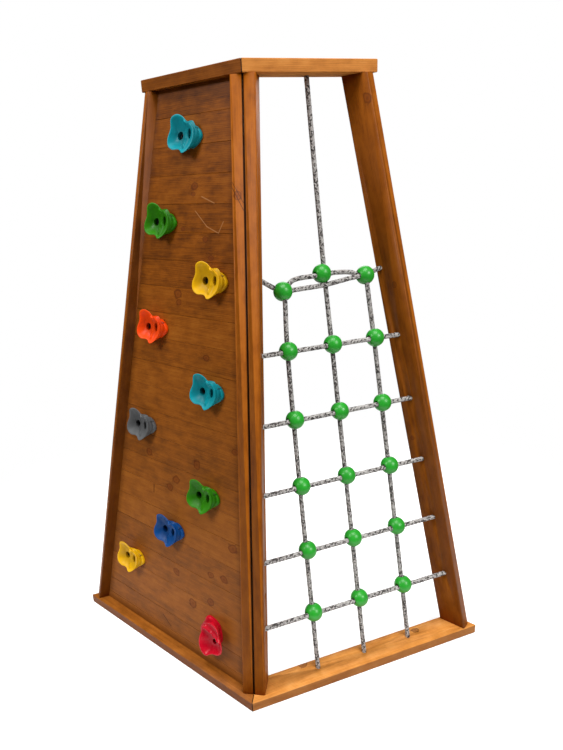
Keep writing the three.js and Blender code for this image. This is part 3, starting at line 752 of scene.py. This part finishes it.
def evenly(points, spacing):
    lengths = [0.0]
    for before, after in zip(points, points[1:]):
        lengths.append(lengths[-1] + (after - before).length)
    count = max(2, round(lengths[-1] / spacing))
    even, leg = [], 0
    for i in range(count + 1):
        wanted = lengths[-1] * i / count
        while leg < len(points) - 2 and lengths[leg + 1] < wanted:
            leg += 1
        share = (wanted - lengths[leg]) / (lengths[leg + 1] - lengths[leg])
        even.append(points[leg].lerp(points[leg + 1], share))
    return even


rope_ring, rope_samples = 24, 24
rope_spacing = 0.003
rope_fullness_share, rope_lump_share = 0.985, 0.035
lumps_along, lumps_around = 55, 1.3


def lay_rope(node, route, material):
    """A tube along the route, with its length and turn kept as a UV map for the braid."""
    points = evenly(open_curve(route, rope_samples), rope_spacing)
    mesh = bmesh.new()
    uv = mesh.loops.layers.uv.new("route")
    side = None
    rings, lengths, run = [], [], 0.0
    for i, point in enumerate(points):
        tangent = (points[min(i + 1, len(points) - 1)] - points[max(i - 1, 0)]).normalized()
        if side is None:
            side = tangent.orthogonal().normalized()
        side = (side - tangent * side.dot(tangent)).normalized()
        other = tangent.cross(side)
        if i:
            run += (point - points[i - 1]).length
        ring = []
        for k in range(rope_ring):
            turn = 2 * math.pi * k / rope_ring
            across, up = math.cos(turn), math.sin(turn)
            uneven = noise.noise(Vector((run * lumps_along, across * lumps_around, up * lumps_around)))
            out = side * across + other * up
            ring.append(mesh.verts.new(
                point + out * rope_radius * rope_fullness_share * (1 + rope_lump_share * uneven)))
        rings.append(ring)
        lengths.append(run)
    for i, k, face in skin(mesh, rings):
        face.smooth = True
        corners = [(i, k), (i, k + 1), (i + 1, k + 1), (i + 1, k)]
        for loop, (step, around) in zip(face.loops, corners):
            loop[uv].uv = (lengths[step], around / rope_ring)
    bmesh.ops.recalc_face_normals(mesh, faces=mesh.faces)
    settle(piece_from(mesh, f"{node}_braid"), material, "rope", node)


rope_braid = braid()
for row in range(rung_count - 1):
    lay_rope(f"rung_rope_{row + 1}", straight_rung_route(row), rope_braid)
lay_rope(f"rung_rope_{rung_count}", top_rung_route(), rope_braid)
lay_rope("centre_rope", centre_rope_route(), rope_braid)
lay_rope("outer_rope", outer_rope_route(), rope_braid)

# Clamping balls: two half shells round the crossing, screwed together from behind
ball_radius = ball_diameter / 2
ball_bore, ball_mouth, ball_mouth_depth, ball_mouth_step = 0.0101, 0.0145, 0.005, 0.0003
ball_seam, ball_seam_share, ball_seam_band = 0.0007, 0.965, 0.002
ball_screw_hole, ball_screw_place = 0.0032, 0.0135
ball_screw_floor, ball_screw_end = ball_radius * 0.55, ball_radius * 1.1
ball_skin = 0.0016
on_seam = 1e-6
overrun = 0.002


def seam_ball(ball):
    """Cuts the seam round the ball's middle, where y is 0, in edit mode."""
    bpy.ops.object.mode_set(mode="EDIT")
    work = bmesh.from_edit_mesh(ball.data)
    for edge in work.edges:
        edge.select = all(abs(v.co.y) < on_seam for v in edge.verts)
    bmesh.update_edit_mesh(ball.data)
    bpy.ops.mesh.select_mode(type="EDGE")
    bpy.ops.mesh.bevel(offset=ball_seam, segments=2, affect="EDGES")
    work = bmesh.from_edit_mesh(ball.data)
    for vert in work.verts:
        vert.select = abs(vert.co.y) < on_seam
    work.select_flush_mode()
    bpy.ops.mesh.select_mode(type="VERT")
    bpy.ops.transform.resize(value=(ball_seam_share, 1, ball_seam_share), center_override=(0, 0, 0))
    bpy.ops.object.mode_set(mode="OBJECT")


def clamp_ball(name, paths):
    """A ball about the origin, y to the back, bored along each path and seamed between the halves."""
    deselect()
    bpy.ops.mesh.primitive_uv_sphere_add(
        segments=48, ring_count=32, radius=ball_radius, location=(0, 0, 0), rotation=(math.pi / 2, 0, 0))
    ball = bpy.context.object
    ball.name = name
    bpy.ops.object.transform_apply()
    seam_ball(ball)
    for start, end in paths:
        carve(ball, add_cutter(start, end, ball_bore))
        along = (end - start).normalized()
        level = start - along * start.dot(along)
        mouth = math.sqrt(ball_radius ** 2 - level.length_squared)
        for sign in ([1, -1] if -start.dot(along) > ball_radius else [1]):
            low = level + along * sign * (mouth - ball_mouth_depth)
            high = level + along * sign * (mouth + overrun)
            carve(ball, add_cutter(low, high, ball_bore - ball_mouth_step, ball_mouth))
    for place in (-ball_screw_place, ball_screw_place):
        floor, end = Vector((place, ball_screw_floor, place)), Vector((place, ball_screw_end, place))
        carve(ball, add_cutter(floor, end, ball_screw_hole))
    # Painted shade inside the bores and screw holes
    keep(ball, "hollow", lambda vert: (
        vert.co.length < ball_radius - ball_skin and abs(vert.co.y) > ball_seam_band))
    smooth(ball, 40)
    return ball


def bore_path(y, toward_x, toward_z, x=0.0, behind=ball_diameter):
    direction, middle = Vector((toward_x, 0, toward_z)).normalized(), Vector((x, y, 0))
    return [middle - direction * behind, middle + direction * ball_diameter]


def half_way(y, towards):
    return bore_path(y, *towards, behind=overrun)


def strand(start, end, rise):
    return toward(top_row[start], top_row[end], weave_run, strand_rise[rise]) - top_row[start]


def set_ball(ball, row, column):
    place = ball_place(row, column)
    ball.data.transform(Matrix.Translation(net_point(place.x, place.y, 0)) @ Matrix.Rotation(-lean, 4, "X"))
    settle(ball, ball_green, "ball_plastic", f"ball_{row + 1}_{column}")


ball_green = moulded("ball_plastic_green", rgb(36, 164, 40), 0.34)
crossing_ball = clamp_ball("crossing_ball", [bore_path(-rope_step, 1, 0), bore_path(rope_step, 0, 1)])
for row in range(rung_count - 1):
    for column in column_sign:
        set_ball(copy_of(crossing_ball, f"clamp_ball_{row + 1}_{column}"), row, column)
scrap(crossing_ball)

top_paths = {
    "left": [
        half_way(rope_step, left_rail_place - top_left),
        half_way(rope_step, strand("left", "centre", "left")),
        half_way(-rope_step, (0, -1)),
        half_way(-rope_step, (1, 0)),
    ],
    "centre": [
        half_way(-rope_step, strand("centre", "left", "centre")),
        half_way(-rope_step, strand("centre", "right", "right")),
        bore_path(rope_step, 0, 1, -top_ball_shift["centre"]),
    ],
    "right": [
        half_way(rope_step, strand("right", "centre", "right")),
        half_way(rope_step, right_rail_place - top_right),
        half_way(-rope_step, (0, -1)),
        half_way(-rope_step, (-1, 0)),
    ],
}
for column, paths in top_paths.items():
    set_ball(clamp_ball(f"clamp_ball_{rung_count}_{column}", paths), rung_count - 1, column)

# Climbing holds. Going round the bolt, each row has a point of the rim, of the upper step and of the lower
# step, in millimetres across, up and out.
hold_outline = [
    ((66, 0, 27), (74, -3, 18), (83, -6, 7)), ((62, 19, 27), (70, 18, 19), (80, 7, 9)),
    ((48, 31, 29), (56, 40, 21), (66, 23, 10)), ((37, 42, 35), (40, 42, 20), (48, 31, 10)),
    ((21, 55, 38), (22, 39, 19), (28, 29, 10)), ((-4, 61, 40), (4, 36, 19), (10, 26, 10)),
    ((-27, 51, 40), (-13, 30, 19), (-5, 19, 10)), ((-32, 20, 36), (-20, 15, 19), (-14, 8, 10)),
    ((-42, -9, 38), (-24, -6, 19), (-17, -4, 10)), ((-39, -31, 38), (-22, -20, 19), (-11, -16, 10)),
    ((-20, -44, 37), (-8, -29, 18), (0, -24, 10)), ((2, -44, 34), (8, -34, 17), (14, -31, 9)),
    ((13, -47, 34), (21, -40, 17), (27, -35, 9)), ((27, -57, 37), (35, -44, 18), (40, -38, 9)),
    ((45, -47, 33), (54, -36, 17), (58, -31, 8)), ((61, -24, 28), (69, -20, 16), (74, -19, 7))]
millimetre = 0.001
hold_middle = Vector((0.03, -0.004, 0))
hold_base_share, hold_lip_share = 0.02, 0.92
hold_groove_turn = 0.7
lower_groove_share, upper_groove_share = 0.12, 0.14
hold_dish = [(0.76, 0.62), (0.52, 0.22)]
hold_floor, hold_floor_radius = 0.02, 0.015
# A ridge across the dish: its two ends, height and width. The crimson hold has a fold instead.
hold_ridge = (Vector((0.036, 0.036)), Vector((0.027, -0.034)), 0.008, 0.0055)
hold_fold = (Vector((0.07, 0.014)), Vector((0.0, -0.034)), 0.012, 0.008)
hold_sides, hold_profile_steps, hold_rim, hold_dish_rings = 6, 3, 5, 4
hold_clear = 0.06
hold_bolt_seat, hold_bolt_bore, hold_bolt_hole = 0.0055, 0.0056, (-0.01, 0.03)
slotted_recess, plain_recess = (0.0125, 0.0155), (0.0088, 0.0098)
slot_x, slot_y, slot_stretch, slot_floor, slot_radii = 0.046, 0.002, 2.1, 0.009, (0.007, 0.0094)
dot_x, dot_y, dot_floor, dot_top, dot_radius = 0.068, 0.02, 0.012, 0.05, 0.0022
# Where painted shade goes on the holds: a well's middle, stretch, radius and height, and the dish as it
# gets deeper
bolt_well = (0.0, 0.0, 1.0, 0.0148, 0.0195)
slot_well = (slot_x, slot_y, slot_stretch, 0.008, 0.02)
dot_well = (dot_x, dot_y, 1.0, 0.0024, 0.016)
well_foot = 0.001
dish_foot, dish_top, dish_fall, dish_dark_share = 0.012, 0.036, 0.016, 0.4
rim_highlight_reach = 0.004


def hold_rings():
    """The mould's rings, from its base up over the rim and down into the dish."""
    rim, upper, lower = (
        closed_curve([Vector(row[i]) * millimetre for row in hold_outline], hold_sides) for i in range(3))

    def groove(below, above, share):
        ring = []
        for low, high in zip(below, above):
            point = low.lerp(high, 0.5)
            turn = math.atan2(point.y - hold_middle.y, point.x - hold_middle.x)
            pull = share * max(0.0, math.cos(turn - hold_groove_turn))
            point.xy = point.xy.lerp(hold_middle.xy, pull)
            ring.append(point)
        return ring

    base = [Vector((p.x, p.y, 0)).lerp(hold_middle, hold_base_share) for p in lower]
    lip = [Vector((p.x * hold_lip_share, p.y * hold_lip_share, p.z)) for p in rim]
    dish = [[Vector((p.x * out, p.y * out, hold_floor + (p.z - hold_floor) * up)) for p in rim]
            for out, up in hold_dish]
    floor_ring = [Vector((*(p.xy.normalized() * hold_floor_radius), hold_floor)) for p in rim]
    return [base, lower, groove(lower, upper, lower_groove_share), upper,
            groove(upper, rim, upper_groove_share), rim, lip, *dish, floor_ring]


def raise_ridge(rings, low, high, ridge_height, width):
    ridge_run = high - low
    for vert in (vert for ring in rings for vert in ring):
        share = (vert.co.xy - low).dot(ridge_run) / ridge_run.length_squared
        off = (vert.co.xy - low - ridge_run * min(1.0, max(0.0, share))).length
        vert.co.z += ridge_height * math.exp(-(off / width) ** 2)


def in_well(place, x, y, stretch, radius, top):
    return math.hypot(place.x - x, (place.y - y) / stretch) < radius and place.z < top


def hold_form(ridge, recess, slotted):
    """A mould's form about its bolt: x across, y up, z out of the board. One has a finger slot."""
    rings = hold_rings()
    profiles = [open_curve(knots, hold_profile_steps) for knots in zip(*rings)]
    mesh = bmesh.new()
    levels = [[mesh.verts.new(point) for point in level] for level in zip(*profiles)]
    skin(mesh, levels)
    for vert in mesh.verts:
        vert.co.z = max(vert.co.z, 0.0)
    raise_ridge(levels[(len(rings) - hold_dish_rings) * hold_profile_steps:], *ridge)
    hold = piece_from(mesh, "hold_form")
    drill(hold, hold_bolt_seat, hold_clear, *recess)
    drill(hold, *hold_bolt_hole, hold_bolt_bore)
    wells = [bolt_well]
    if slotted:
        low, high = Vector((slot_x, slot_y, slot_floor)), Vector((slot_x, slot_y, hold_clear))
        slot = add_cutter(low, high, *slot_radii)
        take(slot)
        bpy.ops.transform.resize(value=(1, slot_stretch, 1), center_override=(slot_x, slot_y, 0))
        bpy.ops.object.transform_apply()
        carve(hold, slot)
        drill(hold, dot_floor, dot_top, dot_radius, x=dot_x, y=dot_y)
        wells += [slot_well, dot_well]

    # Painted shade: 1 in the wells, and darker as the dish gets deeper
    def shade(vert):
        if vert.co.z > well_foot and any(in_well(vert.co, *well) for well in wells):
            return 1.0
        in_dish = vert.normal.z > 0.3 and vert.co.z > dish_foot
        return dish_dark_share * (dish_top - vert.co.z) / dish_fall if in_dish else 0.0

    # Painted highlight, strongest on the rim ring and fading within a few millimetres
    def rim_highlight(vert):
        return 1.0 - min((vert.co - point).length for point in rings[hold_rim]) / rim_highlight_reach

    keep(hold, "hollow", shade)
    keep(hold, "rim", rim_highlight)
    return hold


hold_colours = {
    "teal": (rgb(2, 144, 156), 0.42), "green": (rgb(46, 128, 0), 0.42), "yellow": (rgb(232, 176, 0), 0.42),
    "orange": (rgb(255, 74, 0), 0.42), "grey": (rgb(94, 95, 96), 0.5), "blue": (rgb(4, 70, 136), 0.4),
    "crimson": (rgb(192, 6, 34), 0.28)}
hold_resins = {colour: resin(f"resin_{colour}", *look) for colour, look in hold_colours.items()}
# Each hold's colour, the pair of boards it is bolted to, and the shares of the pair's height and of the
# half width there
hold_bolts = [
    ("teal", 9, 0.141, -0.151), ("green", 7, 0.676, -0.616), ("yellow", 6, 0.68, 0.503),
    ("orange", 5, 0.702, -0.616), ("teal", 4, 0.702, 0.474), ("grey", 3, 0.692, -0.676),
    ("green", 2, 0.707, 0.44), ("blue", 1, 0.708, -0.076), ("yellow", 0, 0.722, -0.675),
    ("crimson", 0, 0.084, 0.682)]
crimson_turn, crimson_size = 2.27, 1.05
stand_up = Matrix(((1, 0, 0, 0), (0, 0, -1, 0), (0, 1, 0, 0), (0, 0, 0, 1)))


def on_boards(pair, share_up, share_side, out=0.0):
    """Places a piece that stands on the boards at a hold's bolt."""
    foot = wide_foot if pair == 0 else regular_foot + board_cover * (2 * pair - 1)
    top = wall_length if pair == board_pairs - 1 else regular_foot + board_cover * (2 * pair + 1)
    up = foot + (top - foot) * share_up
    x = -share_side * rail_at(wall_origin.y + up * math.sin(lean))
    return wall_frame @ Matrix.Translation((x, -out, up)) @ stand_up


slotted_mould = hold_form(hold_ridge, slotted_recess, True)
plain_mould = hold_form(hold_fold, plain_recess, False)
for i, (colour, *bolt) in enumerate(hold_bolts, start=1):
    mould, turn, size = slotted_mould, 0.0, 1.0
    if colour == "crimson":
        mould, turn, size = plain_mould, crimson_turn, crimson_size
    hold = copy_of(mould, f"climbing_hold_{i}")
    hold.data.transform(on_boards(*bolt, fit_gap) @ Matrix.Rotation(turn, 4, "Z") @ Matrix.Scale(size, 4))
    smooth(hold, 50)
    settle(hold, hold_resins[colour], f"hold_{colour}", f"hold_{i}")
scrap(slotted_mould)
scrap(plain_mould)

# Fasteners, each modelled once and copied
zinc_plate = metal("zinc_plate", rgb(150, 150, 148), rgb(205, 206, 208))
black_steel = metal("black_steel", rgb(30, 30, 32), rgb(58, 58, 60))
up_axis = Vector((0, 0, 1))
sunk = 0.0002


def turned(name, rings, facets=32):
    """A turned piece about z from (radius, z) rings, each one extruded from the ring before."""
    radius, z = rings[0]
    deselect()
    bpy.ops.mesh.primitive_circle_add(vertices=facets, radius=radius, fill_type="NGON", location=(0, 0, z))
    piece = bpy.context.object
    piece.name = name
    bpy.ops.object.transform_apply()
    bpy.ops.object.mode_set(mode="EDIT")
    bpy.ops.mesh.select_all(action="SELECT")
    for next_radius, next_z in rings[1:]:
        bpy.ops.mesh.extrude_region_move(TRANSFORM_OT_translate={"value": (0, 0, next_z - z)})
        share = next_radius / radius
        bpy.ops.transform.resize(value=(share, share, 1), center_override=(0, 0, next_z))
        radius, z = next_radius, next_z
    bpy.ops.mesh.select_all(action="SELECT")
    bpy.ops.mesh.normals_make_consistent(inside=False)
    bpy.ops.object.mode_set(mode="OBJECT")
    return piece


def copies(piece, name, places, material):
    """A numbered copy at each placing matrix; the piece itself is then removed."""
    for i, place in enumerate(places, start=1):
        copy = copy_of(piece, f"{name}_{i}")
        copy.data.transform(place)
        smooth(copy, 35)
        settle(copy, material, "steel")
    scrap(piece)


# Socket head bolt of a hold about the board's face, with its shank, and the nut driven in from behind
bolt_head, bolt_head_height, bolt_shank, bolt_tip, bolt_chamfer = 0.0085, 0.0055, 0.0049, 0.004, 0.0008
socket_depth, socket_radius = 0.0035, 0.0046
nut_flange, nut_flange_thickness, nut_edge, nut_gap = 0.0095, 0.0016, 0.0005, 0.0005
nut_barrel, nut_bore, nut_length = 0.0057, 0.0051, 0.009
head_foot, head_top = hold_bolt_seat + sunk, hold_bolt_seat + bolt_head_height
shank_end = -board_thickness - bolt_tip
hold_bolt = turned("hold_bolt", [
    (bolt_shank - bolt_chamfer, shank_end), (bolt_shank, shank_end + bolt_chamfer), (bolt_shank, head_foot),
    (bolt_head, head_foot), (bolt_head, head_top - bolt_chamfer), (bolt_head - bolt_chamfer, head_top)])
drill(hold_bolt, head_top - socket_depth, head_top + overrun, socket_radius, facets=6)
nut_back = -board_thickness - nut_gap
flange_back = nut_back - nut_flange_thickness
tee_nut = turned("tee_nut", [
    (nut_flange - nut_edge, flange_back), (nut_flange, flange_back + nut_edge), (nut_flange, nut_back),
    (nut_barrel, nut_back), (nut_barrel, nut_back + nut_length)])
drill(tee_nut, flange_back - overrun, nut_back + nut_length + overrun, nut_bore)
bolt_places = [on_boards(*bolt) for colour, *bolt in hold_bolts]
copies(hold_bolt, "hold_bolt", bolt_places, black_steel)
copies(tee_nut, "tee_nut", bolt_places, zinc_plate)

# Countersunk screws through the cap boards into the rails' ends, flush with the top
screw_head, screw_head_depth, screw_shank, screw_length, screw_rim = 0.0045, 0.003, 0.0021, 0.02, 0.0004
screw_socket_depth, screw_socket = 0.0016, 0.0019
sink_room, hole_room = 0.0005, 0.004
screw_shares = (0.28, 0.72)
countersunk = turned("cap_screw", [
    (screw_shank, -screw_length), (screw_shank, -screw_head_depth),
    (screw_head, -screw_rim), (screw_head, 0)], 24)
drill(countersunk, -screw_socket_depth, overrun, screw_socket, facets=6)


def rail_axis_point(setback, width, handed, panel_turn, inset, share):
    """A place on the cap's top above a rail's end, at a share of the rail's width."""
    y = setback - side_at(cap_underside) / 2 / math.sin(half_corner) + width * share
    x = handed * (corner_gap / 2 + timber / 2 + inset)
    return Matrix.Rotation(panel_turn - handed * half_corner, 4, "Z") @ Vector((x, y, height))


cap_rails = {
    "net_cap_board": [(*corner_rail, 1, 0.0, 0.0), (*outer_rail, -1, 0.0, net_rail_inset)],
    "wall_cap_board": [(*outer_rail, 1, wall_turn, 0.0), (*corner_rail, -1, wall_turn, 0.0)]}
screw_places = []
for board, rails in cap_rails.items():
    cap = bpy.data.objects[f"{board}_wood"]
    for rail in rails:
        for share in screw_shares:
            place = axis + rail_axis_point(*rail, share)
            deep = place - up_axis * screw_head_depth
            end = place - up_axis * (screw_length + hole_room)
            carve(cap, add_cutter(deep, place + up_axis * sunk, screw_shank, screw_head + sink_room))
            carve(cap, add_cutter(end, deep + up_axis * screw_rim, screw_shank + fit_gap, facets=16))
            screw_places.append(Matrix.Translation(place - up_axis * fit_gap))
copies(countersunk, "cap_screw", screw_places, zinc_plate)

# Round head screws that hold the boards' ends to the cleats, driven from behind
cleat_thickness, cleat_width = 0.015, 0.028
cleat_back = board_thickness + fit_gap + cleat_thickness
round_socket_floor, round_socket_end, round_socket = 0.0012, 0.004, 0.0017
round_head = turned("cleat_screw", [
    (0.0046, 0), (0.0046, 0.0006), (0.0041, 0.0016), (0.0028, 0.0024), (0.0012, 0.0027)], 24)
drill(round_head, round_socket_floor, round_socket_end, round_socket, facets=6)
lie_back = Matrix(((1, 0, 0, 0), (0, 0, 1, 0), (0, -1, 0, 0), (0, 0, 0, 1)))
cleat_places = []
board_middles = [(wide_foot + regular_foot) / 2, (lowest_foot + wide_foot) / 2]
board_middles += [regular_foot + board_cover * (i + 0.5) for i in range(2 * board_pairs - 1)]
for up in board_middles:
    y = wall_origin.y + cleat_back * math.cos(lean) + up * math.sin(lean)
    reach = rail_at(y, fit_gap + cleat_width / 2)
    cleat_places += [wall_frame @ Matrix.Translation((x, cleat_back + sunk, up)) @ lie_back
                     for x in (reach, -reach)]
copies(round_head, "cleat_screw", cleat_places, zinc_plate)

# Corner bolts: shank, washers, and a six-sided head and nut, along the corner's x
corner_counterbore = 0.008
bolt_seat = rail_face - corner_counterbore + fit_gap
washer_radius, hexagon_radius, corner_shank = 0.01, 0.0073, 0.004
washer_end, head_end = bolt_seat + 0.0014, bolt_seat + 0.005
nut_end, shank_tip = bolt_seat + 0.0047, bolt_seat + 0.0045
corner_bolt_parts = [
    (bolt_seat, washer_end, washer_radius, 32), (washer_end - sunk, head_end, hexagon_radius, 6),
    (-washer_end, -bolt_seat, washer_radius, 32), (-nut_end, sunk - washer_end, hexagon_radius, 6)]
along_corner = Matrix.Rotation(-half_corner, 4, "Z") @ Matrix.Rotation(math.pi / 2, 4, "Y")
for node in ("corner_bolt_lower", "corner_bolt_upper"):
    bolt = turned(f"{node}_steel", [(corner_shank, -shank_tip), (corner_shank, bolt_seat)])
    for start, end, radius, facets in corner_bolt_parts:
        carve(bolt, add_cutter(up_axis * start, up_axis * end, radius, facets=facets), "UNION")
    low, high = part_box(node)
    bolt.data.transform(Matrix.Translation((low + high) / 2) @ along_corner)
    smooth(bolt, 30)
    settle(bolt, zinc_plate, "steel", node)

# Floor, world and lamps
floor_size, floor_drop = 60, 0.0005
floor_fade_from, floor_fade_to, floor_glow = 1.0, 2.1, 0.5
ambient, mirrored_share = 0.22, 0.3


def floor_finish():
    """Pale and lit as white to the camera, with the shadow kept; it fades out away from the object."""
    finish = Finish("pale_floor", Base_Color=(0.86, 0.86, 0.86, 1), Roughness=0.9, Specular_IOR_Level=0.1)
    x, y = finish.parts(finish.object_place())[:2]
    fade = ((x * x + y * y) ** 0.5).ease(floor_fade_from, floor_fade_to)
    seen = finish.node("ShaderNodeLightPath", output="Is Camera Ray")
    glow = finish.node("ShaderNodeEmission", None, {"Color": seen * floor_glow})
    lit = Flow(finish, finish.shader.outputs[0])
    both = finish.node("ShaderNodeAddShader", None, {0: lit, 1: glow})
    clear = finish.node("ShaderNodeBsdfTransparent")
    mixed = finish.node("ShaderNodeMixShader", None, {0: fade, 1: both, 2: clear})
    finish.feed(finish.tree.nodes["Material Output"].inputs["Surface"], mixed)
    return finish.material


deselect()
bpy.ops.mesh.primitive_plane_add(size=floor_size, location=(0, 0, -floor_drop))
floor = bpy.context.object
floor.name = "floor"
floor.data.materials.append(floor_finish())

# White where it is seen, dimmer as light, and dimmer again in what shines
world = bpy.data.worlds.new("studio")
bpy.context.scene.world = world
world.use_nodes = True
sky = Nodes(world.node_tree)
seen = sky.node("ShaderNodeLightPath", output="Is Camera Ray")
seen = seen.at_least(sky.node("ShaderNodeLightPath", output="Is Transmission Ray"))
shining = sky.node("ShaderNodeLightPath", output="Is Glossy Ray")
strength = (seen * (1.0 - ambient) + ambient) * (1.0 - shining * (1.0 - mirrored_share))
background = sky.tree.nodes["Background"]
sky.feed(background.inputs["Color"], (1, 1, 1, 1))
sky.feed(background.inputs["Strength"], strength)

# Each lamp's place, size and power; all of them shine at the middle of the pyramid's height
lamps = {
    "sky_lamp": ((-0.4, -1.4, 9.0), 5.0, 520), "net_lamp": ((3.6, -6.2, 5.6), 3.2, 400),
    "wall_lamp": ((-6.4, 0.2, 5.8), 2.4, 330), "back_lamp": ((3.0, 7.0, 5.4), 5.0, 200)}
for name, (place, size, power) in lamps.items():
    light = bpy.data.lights.new(name, "AREA")
    light.size = size
    light.energy = power
    lamp = add_object(name, light)
    lamp.location = place
    lamp.rotation_euler = (Vector((0, 0, height / 2)) - lamp.location).to_track_quat("-Z", "Y").to_euler()

# Camera, solved from the photograph's corners
view_width, view_height = 563, 750
focal_pixels = 578.1
optical_x, optical_y = 258.5, 386.1
yaw, pitch, roll = math.radians(-18.89), math.radians(19.96), math.radians(-3.337)
eye = Vector((-0.8386, -2.1707, 1.6781))
camera_data = bpy.data.cameras.new("camera")
camera_data.sensor_width = 36
camera_data.lens = focal_pixels * camera_data.sensor_width / view_height
camera_data.shift_x = (view_width / 2 - optical_x) / view_height
camera_data.shift_y = (optical_y - view_height / 2) / view_height
camera = add_object("camera", camera_data)
camera.matrix_world = (Matrix.Translation(axis + eye) @ Matrix.Rotation(yaw, 4, "Z")
                       @ Matrix.Rotation(math.pi / 2 - pitch, 4, "X") @ Matrix.Rotation(roll, 4, "Z"))
bpy.context.scene.camera = camera
bpy.context.scene.view_settings.view_transform = "Standard"
